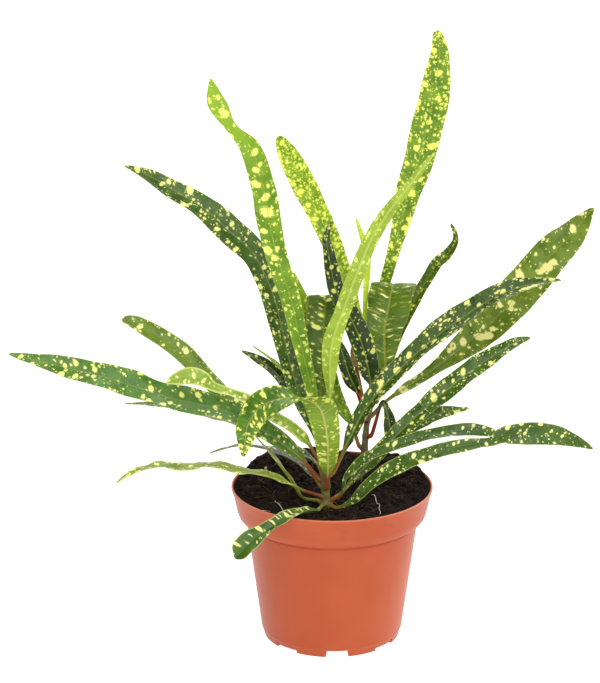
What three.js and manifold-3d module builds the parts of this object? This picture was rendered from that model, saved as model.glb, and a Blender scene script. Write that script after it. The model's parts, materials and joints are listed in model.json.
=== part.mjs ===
// A potted croton: narrow leathery leaves on two stems, peat soil and a plastic nursery pot.
// Millimetres, +Z up. The origin is on the pot's axis, level with the underside of its feet.
// -Y is the side that the plant is seen from, and +X is to its right.
import * as THREE from 'three';
import { mergeVertices } from 'three/addons/utils/BufferGeometryUtils.js';
import Module from 'manifold-3d';

const wasm = await Module();
wasm.setup();

// ---------------------------------------------------------------- driving dimensions

const POT_HEIGHT = 93.8;
const RIM_RADIUS = 60;
const CREASE_HEIGHT = 73.2;     // where the collar tucks in to the body
const CREASE_RADIUS = 51.0;
const HEEL_HEIGHT = 5.2;        // where the body steps in to the foot ring
const HEEL_RADIUS = 42.2;
const FOOT_RADIUS = 40.6;
const FOOT_WIDTH = 2.0;
const WALL = 1.3;
const FLOOR_UNDERSIDE = 4.9;     // of the outer part of the floor, above the notches
const FLOOR_TOP = 6.4;
const SUNK = 2.5;               // how far the middle of the floor lies below its outer part
const SUNK_RADIUS = 19;
const POT_SEGMENTS = 48;

const NOTCH_FACING = -86;       // degrees: the middle of the notch nearest the front
const BASE_REPEATS = 2;         // the foot ring repeats every 180 degrees
const NOTCH = { width: 13, height: 4.5 };
const LIFTED = { from: 35, to: 55, height: 2.1 };    // degrees to each side of a notch
const NICK = { at: 56, width: 2, height: 3.2 };      // at the far end of each lifted stretch
const FLOOR_DRAIN = { radius: 3.5, circle: 26 };

const GAP = 0.35;               // clearance between pieces that touch
const SOIL_LEVEL = 91.2;
const SOIL_SEGMENTS = 44;
const SOIL_RINGS = 9;           // rings across the soil's surface
const BANK = { x: 46, y: 32, reach: 30, height: 8 };        // the soil stands up behind, left and right
const HOLLOW = { x: -4, y: -30, reach: 40, height: -4.2 };  // and is low round the front stem
const CLOD_HEIGHT = 0.75;
const GRAIN_HEIGHT = 0.55;

const STEM_SIDES = 10;
const STEM_RINGS = 16;
const STALK_RADIUS = 1.25;
const STALK_GAP = 0.6;          // clearance between a stalk's foot and its stem
const STALK_CREST = 0.87;       // half width of the stalk's flat sides, as a share of its radius
const STALK_SHOULDER = 0.5;     // their height, as a share of its radius
const KNEE = { out: 1.6, up: 1.2 };   // a stalk leaves its stem level, then turns up

const BLADE_RINGS = 18;
const STALK_RINGS = 4;
const BLADE_THICKNESS = 0.9;
const RIB_DEPTH = 0.6;          // how far the midrib stands out under the blade
const EDGE_LAG = 2.2;           // radians by which the right edge's waves trail the left edge's
const CALM_HALF_WIDTH = 4;      // narrower than this, the edges wave less

// ---------------------------------------------------------------- finishes

const finish = (color, roughness) => new THREE.MeshStandardMaterial({ color, roughness, metalness: 0 });

const FINISHES = {
  terracotta: finish(0xcd6444, 0.42),
  peat: finish(0x2a201b, 0.95),
  oliveBark: finish(0x6f7a33, 0.6),
  brownBark: finish(0x54462c, 0.65),
  gold: finish(0xa9bf3a, 0.35),       // bright leaves, mostly speckle
  bright: finish(0x6f9e2f, 0.35),
  deep: finish(0x2f5d2a, 0.3),        // old dark leaves
  pale: finish(0x9bb75a, 0.45),       // leaves that show their underside
};

// ---------------------------------------------------------------- solids from geometry

// A BufferGeometry with shared vertices whose faces point outwards.
function closedGeometry(geometry) {
  const bare = geometry.clone();
  bare.deleteAttribute('normal');
  bare.deleteAttribute('uv');
  const merged = mergeVertices(bare);
  const position = merged.attributes.position;
  const index = Array.from(merged.index.array);
  const corner = [new THREE.Vector3(), new THREE.Vector3(), new THREE.Vector3()];
  const kept = [];
  let volume = 0;
  for (let i = 0; i < index.length; i += 3) {
    const [a, b, c] = index.slice(i, i + 3);
    if (a === b || b === c || c === a) continue;
    corner.forEach((v, k) => v.fromBufferAttribute(position, [a, b, c][k]));
    volume += corner[0].dot(corner[1].clone().cross(corner[2]));
    kept.push(a, b, c);
  }
  if (volume < 0) kept.reverse();
  merged.setIndex(kept);
  merged.computeVertexNormals();
  return merged;
}

function toManifold(geometry) {
  const closed = closedGeometry(geometry);
  return new wasm.Manifold(new wasm.Mesh({
    numProp: 3,
    vertProperties: new Float32Array(closed.attributes.position.array),
    triVerts: new Uint32Array(closed.index.array),
  }));
}

function fromManifold(solid) {
  const mesh = solid.getMesh();
  const geometry = new THREE.BufferGeometry();
  geometry.setAttribute('position', new THREE.BufferAttribute(new Float32Array(mesh.vertProperties), 3));
  geometry.setIndex(Array.from(mesh.triVerts));
  geometry.computeVertexNormals();
  return geometry;
}

// A closed solid through rings of points, all rings with the same number of points.
// A quad is split along the same diagonal on both faces of a blade: `diagonal(k)` says which.
function loft(rings, diagonal = () => true) {
  const sides = rings[0].length;
  const positions = rings.flat().flatMap((p) => [p.x, p.y, p.z]);
  const index = [];
  for (let r = 0; r < rings.length - 1; r += 1) {
    for (let k = 0; k < sides; k += 1) {
      const a = r * sides + k;
      const b = r * sides + (k + 1) % sides;
      const c = b + sides;
      const d = a + sides;
      if (diagonal(k)) index.push(a, b, c, a, c, d);
      else index.push(a, b, d, b, c, d);
    }
  }
  const last = (rings.length - 1) * sides;
  for (let k = 1; k < sides - 1; k += 1) {
    index.push(0, k + 1, k);
    index.push(last, last + k, last + k + 1);
  }
  const geometry = new THREE.BufferGeometry();
  geometry.setAttribute('position', new THREE.Float32BufferAttribute(positions, 3));
  geometry.setIndex(index);
  return closedGeometry(geometry);
}

function lathe(outline, segments) {
  const points = outline.map(([radius, height]) => new THREE.Vector2(radius, height));
  return new THREE.LatheGeometry(points, segments).rotateX(Math.PI / 2);
}

// Moves an outline sideways by `distance`, towards its left as it is walked.
function offsetOutline(outline, distance) {
  const points = outline.map(([x, y]) => new THREE.Vector2(x, y));
  return points.map((point, i) => {
    const before = points[Math.max(i - 1, 0)];
    const after = points[Math.min(i + 1, points.length - 1)];
    const arriving = (i > 0 ? point.clone().sub(before) : after.clone().sub(point)).normalize();
    const leaving = (after === point ? arriving : after.clone().sub(point)).clone().normalize();
    const mean = arriving.clone().add(leaving).normalize();
    const reach = distance / Math.max(mean.dot(arriving), 0.5);
    return [point.x - mean.y * reach, point.y + mean.x * reach];
  });
}

// ---------------------------------------------------------------- pot

// The outside of the wall from the heel up to the lip.
const WALL_OUTLINE = [
  [HEEL_RADIUS, HEEL_HEIGHT],
  [CREASE_RADIUS, CREASE_HEIGHT],
  [CREASE_RADIUS + 2.6, CREASE_HEIGHT + 0.9],
  [CREASE_RADIUS + 4.5, CREASE_HEIGHT + 2.8],
  [CREASE_RADIUS + 5.6, CREASE_HEIGHT + 6.1],
  [RIM_RADIUS - 2.4, POT_HEIGHT - 9.8],
  [RIM_RADIUS - 1.6, POT_HEIGHT - 5.8],
  [RIM_RADIUS - 0.4, POT_HEIGHT - 1.5],
  [RIM_RADIUS, POT_HEIGHT - 0.6],
];

function potShell() {
  const inside = offsetOutline(WALL_OUTLINE, WALL).slice(0, -1);
  inside[0] = [HEEL_RADIUS - WALL, FLOOR_TOP + 1.2];
  const outline = [
    [0, FLOOR_UNDERSIDE - SUNK],
    [SUNK_RADIUS + 0.6, FLOOR_UNDERSIDE - SUNK],
    [SUNK_RADIUS + 2.1, FLOOR_UNDERSIDE],
    [FOOT_RADIUS - FOOT_WIDTH - 0.5, FLOOR_UNDERSIDE],
    [FOOT_RADIUS - FOOT_WIDTH, 0],
    [FOOT_RADIUS, 0],
    [FOOT_RADIUS + 0.7, HEEL_HEIGHT - 1.6],
    ...WALL_OUTLINE,
    [RIM_RADIUS - 0.4, POT_HEIGHT],
    [RIM_RADIUS - WALL + 0.2, POT_HEIGHT],
    ...inside.reverse(),
    [HEEL_RADIUS - WALL - 1.4, FLOOR_TOP],
    [SUNK_RADIUS + 1.5, FLOOR_TOP],
    [SUNK_RADIUS, FLOOR_TOP - SUNK],
    [0, FLOOR_TOP - SUNK],
  ];
  return toManifold(lathe(outline, POT_SEGMENTS));
}

// A box that reaches through the foot ring at one angle, for a notch or a nick.
function footCutter(degrees, width, high) {
  const low = -1;
  const reach = 8;
  const box = new THREE.BoxGeometry(reach, width, high - low);
  box.translate(FOOT_RADIUS, 0, (high + low) / 2);
  return toManifold(box.rotateZ(THREE.MathUtils.degToRad(degrees)));
}

// A wedge below the foot ring, which lifts a stretch of it off the ground.
function liftCutter(degrees) {
  const half = THREE.MathUtils.degToRad((LIFTED.to - LIFTED.from) / 2);
  const inner = FOOT_RADIUS - FOOT_WIDTH - 1.5;
  const outer = FOOT_RADIUS + 4;
  const shape = new THREE.Shape();
  shape.moveTo(inner * Math.cos(-half), inner * Math.sin(-half));
  shape.absarc(0, 0, outer, -half, half, false);
  shape.absarc(0, 0, inner, half, -half, true);
  const wedge = new THREE.ExtrudeGeometry(shape, {
    depth: LIFTED.height + 2, bevelEnabled: false, curveSegments: 8,
  });
  wedge.translate(0, 0, -2).rotateZ(THREE.MathUtils.degToRad(degrees));
  return toManifold(wedge);
}

function floorDrain(degrees) {
  const drain = new THREE.CylinderGeometry(FLOOR_DRAIN.radius, FLOOR_DRAIN.radius, 8, 16);
  drain.rotateX(Math.PI / 2).translate(FLOOR_DRAIN.circle, 0, FLOOR_TOP);
  return toManifold(drain.rotateZ(THREE.MathUtils.degToRad(degrees)));
}

function pot() {
  let shell = potShell();
  const period = 360 / BASE_REPEATS;
  for (let i = 0; i < BASE_REPEATS; i += 1) {
    const notch = NOTCH_FACING + i * period;
    shell = shell.subtract(footCutter(notch, NOTCH.width, NOTCH.height));
    for (const side of [-1, 1]) {
      shell = shell.subtract(liftCutter(notch + side * (LIFTED.from + LIFTED.to) / 2));
      shell = shell.subtract(footCutter(notch + side * NICK.at, NICK.width, NICK.height));
    }
    shell = shell.subtract(floorDrain(notch));
    shell = shell.subtract(floorDrain(notch + period / 2));
  }
  return fromManifold(shell);
}

// ---------------------------------------------------------------- stems

// Each stem's line from inside the soil to its growing tip, with its radius low down and at the tip.
const STEMS = {
  front: {
    name: 'front_stem', finish: 'oliveBark', radius: 2.4, tipRadius: 1.5,
    line: [[-4, -22, 62], [-4, -22, 90], [-4, -22, 101], [-5, -21, 118], [-6, -19, 136], [-7, -17, 150]],
  },
  back: {
    name: 'back_stem', finish: 'brownBark', radius: 2.2, tipRadius: 1.2,
    line: [[16, 12, 62], [16, 12, 90], [19, 12, 108], [21, 13, 129], [24, 14, 142], [29, 20, 160]],
  },
};

const vector = ([x, y, z]) => new THREE.Vector3(x, y, z);
const lineThrough = (points) => new THREE.CatmullRomCurve3(points, false, 'centripetal');

function ring(centre, across, up, radius, sides) {
  return Array.from({ length: sides }, (_, k) => {
    const angle = (k / sides) * 2 * Math.PI;
    return centre.clone()
      .addScaledVector(across, radius * Math.cos(angle))
      .addScaledVector(up, radius * Math.sin(angle));
  });
}

function stemRadius(stem, fraction) {
  return THREE.MathUtils.lerp(stem.radius, stem.tipRadius, fraction ** 2);
}

function stemSolid(stem) {
  const curve = lineThrough(stem.line.map(vector));
  const rings = [];
  for (let i = 0; i <= STEM_RINGS; i += 1) {
    const fraction = i / STEM_RINGS;
    const tangent = curve.getTangentAt(fraction);
    const across = new THREE.Vector3(0, 1, 0).cross(tangent).normalize();
    const up = tangent.clone().cross(across);
    const radius = stemRadius(stem, fraction);
    rings.push(ring(curve.getPointAt(fraction), across, up, radius, STEM_SIDES));
  }
  const bud = curve.getPointAt(1).addScaledVector(curve.getTangentAt(1), stem.tipRadius);
  rings.push(rings[STEM_RINGS].map((point) => point.clone().lerp(bud, 0.6)));
  return loft(rings);
}

// The point on a stem's line at height z, and the stem's radius there.
function stemAt(stem, height) {
  const curve = lineThrough(stem.line.map(vector));
  let low = 0;
  let high = 1;
  for (let i = 0; i < 30; i += 1) {
    const middle = (low + high) / 2;
    if (curve.getPointAt(middle).z < height) low = middle;
    else high = middle;
  }
  return { centre: curve.getPointAt(low), radius: stemRadius(stem, low) };
}

// ---------------------------------------------------------------- soil

// How much a smooth hump, or a hollow of negative height, adds at (x, y).
function humpAt(x, y, hump) {
  const near = Math.max(0, 1 - ((x - hump.x) ** 2 + (y - hump.y) ** 2) / hump.reach ** 2);
  return hump.height * near * near;
}

// The soil's surface: banked up at the back left and back right, hollow by the front stem, with clods.
function soilHeight(x, y) {
  const banks = humpAt(x, y, BANK) + humpAt(-x, y, BANK);
  const clods = Math.sin(x * 0.31 + 1.3) * Math.cos(y * 0.27) + 0.7 * Math.sin(x * 0.71 - y * 0.53);
  const grain = (Math.sin(x * 12.9898 + y * 78.233) * 43758.5453) % 1;
  return SOIL_LEVEL + banks + humpAt(x, y, HOLLOW) + CLOD_HEIGHT * clods + GRAIN_HEIGHT * grain;
}

function soil() {
  const wall = offsetOutline(WALL_OUTLINE, WALL + GAP).slice(0, 7);
  wall[0] = [HEEL_RADIUS - WALL - GAP - 0.3, FLOOR_TOP + 1.6];
  const [edgeRadius] = wall[wall.length - 1];
  const top = Array.from({ length: SOIL_RINGS }, (_, i) => {
    return [edgeRadius * (1 - (i + 0.1) / SOIL_RINGS), SOIL_LEVEL];
  });
  const outline = [
    [0, FLOOR_TOP - SUNK + GAP],
    [SUNK_RADIUS - 0.3, FLOOR_TOP - SUNK + GAP],
    [SUNK_RADIUS + 1.2, FLOOR_TOP + GAP],
    [HEEL_RADIUS - WALL - GAP - 2.2, FLOOR_TOP + GAP],
    ...wall,
    ...top,
    [0, SOIL_LEVEL],
  ];
  const mass = lathe(outline, SOIL_SEGMENTS);
  const position = mass.attributes.position;
  for (let i = 0; i < position.count; i += 1) {
    if (position.getZ(i) > SOIL_LEVEL - 0.01) {
      position.setZ(i, soilHeight(position.getX(i), position.getY(i)));
    }
  }
  let solid = toManifold(mass);
  const depth = POT_HEIGHT;
  for (const stem of Object.values(STEMS)) {
    const [x, y, low] = stem.line[0];
    const radius = stem.radius + GAP;
    const hole = new THREE.CylinderGeometry(radius, radius, depth, STEM_SIDES * 2);
    hole.rotateX(Math.PI / 2).translate(x, y, low - GAP + depth / 2);
    solid = solid.subtract(toManifold(hole));
  }
  return fromManifold(solid);
}

// ---------------------------------------------------------------- leaves

// One entry for each leaf:
//   foot     the height on its stem where the stalk leaves it
//   stalk    length of the bare stalk
//   widths   the blade's width at equal steps from its stalk to its tip
//   route    points of the midrib after the foot, out to the tip
//   upper    which way the upper face looks, from the foot to the tip
//   fold     how far the two halves are raised from flat, in degrees
//   waves    how many waves an edge has, and their height
const LEAVES = [
  {
    name: 'leaf_upper_left', stem: 'front', finish: 'deep',
    foot: 108, stalk: 14, fold: 12, waves: 4, wave: 0.7,
    widths: [3, 6, 11, 12.5, 14, 15.5, 16, 16, 17.5, 17.5, 15, 12.5, 8, 1.5],
    route: [
      [-6, -18, 115], [-10, -12, 128], [-23, 3, 161], [-34, 22, 202], [-39, 27, 214],
      [-47, 31, 228], [-60, 36, 239], [-78, 41, 254], [-96, 44, 264], [-110, 46, 272],
      [-123, 48, 277],
    ],
    upper: [[0.3, -1, 0.1], [0.3, -1, 0.2], [0.2, -0.8, 0.6], [0.2, -0.8, 0.6]],
  },
  {
    name: 'leaf_tall_left', stem: 'front', finish: 'bright',
    foot: 122, stalk: 12, fold: 10, waves: 5, wave: 0.8,
    widths: [3, 5.5, 7.5, 9, 10.5, 11.5, 12.5, 13.5, 14.5, 14, 12.5, 7, 12.5, 1.5],
    route: [
      [-8, -16, 130], [-13, -12, 160], [-19, -9, 186], [-25, -6, 213], [-32, -4, 234],
      [-37, -1, 257], [-40, 2, 275], [-47, 5, 297], [-56, 6, 307], [-61, 6, 314], [-66, 5, 325],
      [-70, 2, 339],
    ],
    upper: [[0.1, -1, 0.1], [0, -1, 0.1], [-0.1, -1, 0.2], [-0.5, -0.9, 0.1]],
  },
  {
    name: 'leaf_gold_upright', stem: 'back', finish: 'gold',
    foot: 144, stalk: 12, fold: 8, waves: 4, wave: 0.7,
    widths: [2.5, 3, 4, 5.5, 7.5, 9, 10.5, 12, 13, 13.5, 15, 14.5, 12, 5],
    route: [[21, 27, 164], [16, 36, 184], [9, 48, 206], [-4, 56, 237], [-18, 59, 265], [-32, 60, 292]],
    upper: [[-0.2, -1, 0.2], [-0.1, -1, 0.2], [0, -1, 0.3]],
  },
  {
    name: 'leaf_small_dark_upright', stem: 'back', finish: 'deep',
    foot: 148, stalk: 8, fold: 16, waves: 3, wave: 0.5,
    widths: [2.5, 4.5, 6.5, 8, 8.5, 9, 9.5, 9.5, 10, 9.5, 8, 6.5, 4.5, 1.5],
    route: [
      [23, 9, 154], [21, 8, 165], [17, 8, 180], [10, 9, 196], [2, 10, 211], [0, 11, 219],
      [-3, 14, 235], [-4, 16, 240], [-3, 18, 246], [0, 19, 251],
    ],
    upper: [[0.1, -1, 0.2], [0.3, -0.9, 0.2], [0.4, -0.9, 0.1]],
  },
  {
    name: 'leaf_new_tall', stem: 'back', finish: 'gold',
    foot: 160, stalk: 6, fold: 22, waves: 2, wave: 0.3,
    widths: [2, 2, 2.5, 3, 4, 4.5, 3.5, 1.5],
    route: [[25, 28, 171], [20, 31, 184], [20, 31, 227], [14, 31, 249]],
    upper: [[0, -1, 0.2], [0.3, -1, 0.1]],
  },
  {
    name: 'leaf_new_short', stem: 'back', finish: 'gold',
    foot: 154, stalk: 5, fold: 22, waves: 2, wave: 0.3,
    widths: [2, 3, 4.5, 5.5, 5, 3, 1.5],
    route: [[21, 23, 168], [18, 25, 186], [15, 26, 199]],
    upper: [[0, -1, 0.2], [-0.3, -1, 0.1]],
  },
  {
    name: 'leaf_tallest', stem: 'back', finish: 'gold',
    foot: 156, stalk: 14, fold: 8, waves: 4, wave: 0.8,
    widths: [3, 4, 5, 6.5, 7.5, 9.5, 13, 16, 18, 19, 18.5, 17, 12, 5],
    route: [
      [32, 36, 163], [31, 49, 179], [31, 56, 196], [35, 58, 213], [41, 61, 236], [46, 63, 258],
      [52, 63, 277], [56, 62, 296], [60, 61, 314], [62, 60, 331], [63, 59, 344], [61, 58, 356],
    ],
    upper: [[0.1, -1, 0.2], [0, -1, 0.2], [0.1, -1, 0.2]],
  },
  {
    name: 'leaf_pale_underside', stem: 'front', finish: 'pale',
    foot: 131, stalk: 14, fold: 6, waves: 4, wave: 0.6,
    widths: [2, 2.5, 6.5, 10, 10.5, 9.5, 9.5, 9.5, 9, 8.5, 7.5, 6, 4.5, 1.5],
    route: [
      [-3, -29, 151], [-2, -31, 162], [-2, -33, 176], [-1, -36, 193], [6, -40, 216],
      [14, -43, 240], [21, -46, 258], [30, -49, 274], [42, -52, 291], [54, -54, 308],
    ],
    upper: [[0.1, 1, 0], [0, 1, 0.1], [0.1, 1, 0.2]],
  },
  {
    name: 'leaf_arching_broad', stem: 'back', finish: 'bright',
    foot: 141, stalk: 8, fold: 4, waves: 4, wave: 0.7,
    widths: [3, 3.5, 5.5, 12, 17, 20.5, 23, 25.5, 26, 26, 26, 25.5, 20, 14],
    route: [
      [28, 10, 148], [31, 11, 159], [31, 19, 185], [33, 23, 194], [35, 29, 204], [36, 33, 207],
      [37, 41, 206], [39, 48, 200], [40, 50, 190],
    ],
    upper: [[0, -1, 0.2], [0, -1, 0.4], [0, -0.2, 1], [0, 0.6, 0.8]],
  },
  {
    name: 'leaf_twisted_small', stem: 'back', finish: 'deep',
    foot: 151, stalk: 10, fold: 18, waves: 3, wave: 0.6,
    widths: [2.5, 2.5, 3.5, 5, 6, 7, 7.5, 7.5, 7.5, 7.5, 7, 6, 4, 1.5],
    route: [
      [35, 40, 158], [39, 52, 166], [43, 58, 175], [51, 63, 190], [60, 67, 204], [65, 68, 212],
      [70, 69, 216], [75, 69, 224], [75, 69, 230], [72, 69, 236],
    ],
    upper: [[0.2, -1, 0.3], [-0.2, -0.9, 0.5], [-0.6, -0.7, 0.3]],
  },
  {
    name: 'leaf_broad_right', stem: 'back', finish: 'bright',
    foot: 132, stalk: 12, fold: 6, waves: 4, wave: 0.9,
    widths: [3, 5.5, 6.5, 9.5, 14, 19, 22, 23, 24, 24, 22.5, 19, 13, 2],
    route: [
      [30, 18, 138], [37, 20, 143], [59, 26, 156], [79, 32, 170], [96, 36, 184], [110, 39, 199],
      [132, 43, 225], [142, 44, 235], [155, 45, 252],
    ],
    upper: [[-0.2, -0.8, 0.6], [-0.3, -0.9, 0.5], [-0.2, -1, 0.3]],
  },
  {
    name: 'leaf_grooved_right', stem: 'front', finish: 'deep',
    foot: 107, stalk: 12, fold: 24, waves: 4, wave: 0.6,
    widths: [3, 7, 10, 11, 11.5, 12.5, 13.5, 15, 16, 15, 13, 11.5, 7.5, 1.5],
    route: [
      [0, -20, 108], [8, -15, 123], [19, -10, 144], [32, -7, 160], [55, -3, 182], [78, 0, 199],
      [100, 2, 212], [122, 3, 218], [133, 4, 219],
    ],
    upper: [[-0.4, -0.7, 0.5], [-0.4, -0.7, 0.6], [-0.3, -0.6, 0.8], [-0.2, -0.5, 0.9]],
  },
  {
    name: 'leaf_notched_right', stem: 'front', finish: 'deep',
    foot: 91, stalk: 10, fold: 12, waves: 5, wave: 0.8,
    widths: [3, 7, 9, 10, 10.5, 11, 11.5, 12.5, 13.5, 13, 11.5, 11, 9.5, 5],
    route: [
      [5, -18, 95], [13, -14, 103], [22, -11, 112], [55, 0, 142], [73, 5, 156], [90, 9, 168],
      [110, 13, 179], [117, 14, 181],
    ],
    upper: [[-0.4, -0.7, 0.6], [-0.4, -0.8, 0.6], [-0.3, -0.7, 0.7]],
  },
  {
    name: 'leaf_short_right', stem: 'back', finish: 'deep',
    foot: 106, stalk: 8, fold: 10, waves: 3, wave: 0.6,
    widths: [3, 5, 6.5, 8, 8.5, 8.5, 8.5, 7, 4, 1.5],
    route: [[29, 18, 111], [44, 24, 119], [65, 30, 128], [83, 34, 130]],
    upper: [[0, -0.5, 0.9], [0, -0.8, 0.6]],
  },
  {
    name: 'leaf_low_right_short', stem: 'front', finish: 'bright',
    foot: 92.5, stalk: 8, fold: 18, waves: 3, wave: 0.5,
    widths: [2.5, 3, 4.5, 7, 8, 8, 8, 8, 8.5, 9, 9, 8.5, 7.5, 4.5],
    route: [
      [4, -26, 96], [6, -29, 102], [8, -29, 109], [13, -29, 115], [20, -29, 121], [36, -29, 128],
      [53, -28, 134], [67, -27, 136], [80, -26, 137], [95, -25, 135],
    ],
    upper: [[-0.7, -0.4, 0.6], [-0.4, -0.5, 0.8], [0, -0.5, 0.9], [0, -0.7, 0.7]],
  },
  {
    name: 'leaf_low_right_long', stem: 'front', finish: 'bright',
    foot: 89, stalk: 8, fold: 8, waves: 4, wave: 0.8,
    widths: [2.5, 5, 8, 9, 9.5, 9.5, 9, 7.5, 5.5, 11, 13, 12, 8, 1.5],
    route: [
      [3, -31, 91], [11, -36, 97], [24, -39, 111], [41, -42, 123], [50, -43, 127], [67, -43, 132],
      [84, -42, 135], [91, -42, 136], [97, -41, 139], [105, -41, 140], [118, -40, 140],
      [131, -39, 138], [144, -38, 133], [150, -38, 130],
    ],
    upper: [[-0.5, -0.8, 0.5], [-0.3, -0.8, 0.6], [0, -0.7, 0.7], [0, -0.9, 0.4], [0, -0.9, 0.5]],
  },
  {
    name: 'leaf_far_left', stem: 'front', finish: 'bright',
    foot: 105, stalk: 14, fold: 14, waves: 5, wave: 0.8,
    widths: [4, 9, 12.5, 14.5, 15.5, 17, 18, 16.5, 18, 17, 15, 12, 7.5, 1.5],
    route: [
      [-15, -21, 114], [-31, -18, 127], [-54, -16, 142], [-73, -15, 148], [-92, -14, 152],
      [-113, -14, 159], [-135, -14, 166], [-188, -14, 180],
    ],
    upper: [[0.2, -0.6, 0.8], [0.1, -0.6, 0.8], [0.2, -0.8, 0.6]],
  },
  {
    name: 'leaf_left_olive', stem: 'front', finish: 'bright',
    foot: 100, stalk: 12, fold: 8, waves: 4, wave: 0.5,
    widths: [3, 4, 5.5, 7, 8.5, 9.5, 10.5, 11, 11.5, 12.5, 12, 12, 10, 4],
    route: [
      [-12, -16, 107], [-25, -3, 121], [-49, 7, 134], [-67, 15, 147], [-88, 22, 168],
      [-104, 25, 179], [-119, 27, 187], [-125, 28, 188],
    ],
    upper: [[0.2, -0.8, 0.6], [0.3, -0.8, 0.6], [0.3, -0.8, 0.7]],
  },
  {
    name: 'leaf_left_curled', stem: 'front', finish: 'pale',
    foot: 117, stalk: 12, fold: 8, waves: 3, wave: 0.9,
    widths: [4, 6, 7, 7.5, 7.5, 7.5, 7.5, 6.5, 5.5, 4.5, 6.5, 9.5, 7.5, 1.5],
    route: [
      [-10, -26, 122], [-15, -28, 131], [-25, -30, 141], [-40, -31, 151], [-54, -31, 160],
      [-70, -31, 166], [-75, -32, 170], [-81, -32, 172], [-93, -33, 170], [-96, -33, 168],
    ],
    upper: [[0.3, -0.7, 0.6], [0.4, -0.8, 0.5], [0.2, -0.6, 0.8], [0.1, -0.9, 0.5]],
  },
  {
    name: 'leaf_front_folded', stem: 'front', finish: 'pale',
    foot: 101, stalk: 8, fold: 5, waves: 3, wave: 0.7,
    widths: [3, 9, 12.5, 14.5, 16.5, 18.5, 19.5, 20, 20, 18.5, 16, 13, 9, 1.5],
    route: [
      [-3, -29, 108], [-3, -37, 129], [-4, -41, 142], [-7, -45, 157], [-11, -47, 163],
      [-17, -49, 167], [-26, -51, 168], [-37, -52, 167], [-45, -53, 160], [-51, -53, 149],
      [-53, -52, 139], [-53, -51, 130],
    ],
    upper: [[0, 1, 0.2], [-0.1, 1, 0.3], [-0.2, 0.5, 1], [-0.3, -0.8, 0.6], [-0.3, -1, 0.2]],
  },
  {
    name: 'leaf_low_left_level', stem: 'front', finish: 'bright',
    foot: 95, stalk: 14, fold: 8, waves: 4, wave: 0.9,
    widths: [3, 6, 9, 11, 12, 12, 12, 11.5, 10.5, 8, 12, 8, 4, 1.5],
    route: [
      [-17, -34, 103], [-24, -37, 108], [-38, -42, 115], [-56, -46, 120], [-74, -50, 124],
      [-88, -53, 124], [-102, -56, 126], [-115, -58, 123], [-124, -60, 117],
    ],
    upper: [[0, 0, 1], [0.1, 0, 1], [0, -0.1, 1]],
  },
  {
    name: 'leaf_low_left_edge', stem: 'front', finish: 'bright',
    foot: 91, stalk: 8, fold: 10, waves: 2, wave: 0.4,
    widths: [3, 6.5, 9, 10, 9.5, 8, 5, 1.5],
    route: [[-17, -22, 94], [-25, -19, 105], [-36, -14, 118], [-45, -8, 127]],
    upper: [[0.8, 0.3, 0.5], [0.9, 0, 0.6]],
  },
  {
    name: 'leaf_back_left_low', stem: 'front', finish: 'deep',
    foot: 91, stalk: 12, fold: 10, waves: 3, wave: 0.6,
    widths: [3, 6, 9, 10.5, 10.5, 9.5, 7, 4, 1.5],
    route: [[-7, -9, 97], [-19, 4, 105], [-37, 16, 110], [-56, 26, 109], [-74, 35, 101]],
    upper: [[0, 0, 1], [0, -0.1, 1]],
  },
  {
    name: 'leaf_back_left', stem: 'front', finish: 'deep',
    foot: 103, stalk: 12, fold: 10, waves: 4, wave: 0.6,
    widths: [3, 7, 11, 13, 13, 12, 9, 5, 1.5],
    route: [[-9, -8, 110], [-32, 10, 117], [-62, 22, 127], [-97, 30, 133], [-125, 34, 133]],
    upper: [[0.1, 0, 1], [0, -0.2, 1]],
  },
  {
    name: 'leaf_left_short_dark', stem: 'front', finish: 'deep',
    foot: 127, stalk: 8, fold: 12, waves: 3, wave: 0.5,
    widths: [3, 5.5, 8.5, 10, 10, 8.5, 6, 1.5],
    route: [[-5, -11, 126], [-10, 6, 133], [-25, 18, 148], [-38, 24, 160], [-54, 29, 168]],
    upper: [[0.3, -0.5, 0.8], [0.2, -0.6, 0.8]],
  },
  {
    name: 'leaf_left_short_green', stem: 'front', finish: 'bright',
    foot: 130, stalk: 8, fold: 12, waves: 3, wave: 0.4,
    widths: [3, 5, 7.5, 9, 9, 7.5, 5, 1.5],
    route: [[-6, -11, 136], [-12, 4, 143], [-24, 12, 155], [-36, 15, 167], [-47, 17, 175]],
    upper: [[0.7, 0.2, 0.7], [0.7, 0.1, 0.7]],
  },
  {
    name: 'leaf_arching_dark', stem: 'front', finish: 'deep',
    foot: 143, stalk: 8, fold: 4, waves: 4, wave: 0.7,
    widths: [3, 10, 16, 20, 21, 21, 21, 20.5, 19, 14],
    route: [
      [-7, -9, 152], [-6, 4, 170], [-5, 14, 189], [-4, 21, 200], [-4, 27, 203], [-5, 31, 199],
      [-5, 33, 187],
    ],
    upper: [[0, -1, 0.2], [0, -1, 0.4], [0, -0.2, 1], [0, 0.6, 0.8]],
  },
  {
    name: 'leaf_back_centre', stem: 'back', finish: 'bright',
    foot: 112, stalk: 12, fold: 10, waves: 4, wave: 0.6,
    widths: [3, 7, 11.5, 14, 14, 12.5, 9, 5, 1.5],
    route: [[12, 18, 125], [0, 24, 144], [-10, 32, 171], [-16, 38, 194], [-23, 42, 213]],
    upper: [[0, -1, 0.2], [0.1, -1, 0.3]],
  },
  {
    name: 'leaf_red_stalk_dark', stem: 'back', finish: 'deep',
    foot: 130, stalk: 8, fold: 10, waves: 2, wave: 0.5,
    widths: [3, 6, 8.5, 9, 9, 8, 6, 3],
    route: [[17, 4, 143], [14, -2, 154], [10, -6, 164], [6, -9, 178], [3, -10, 187]],
    upper: [[-0.4, -0.9, 0.3], [-0.2, -1, 0.2]],
  },
  {
    name: 'leaf_red_stalk_tan', stem: 'back', finish: 'pale',
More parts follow.
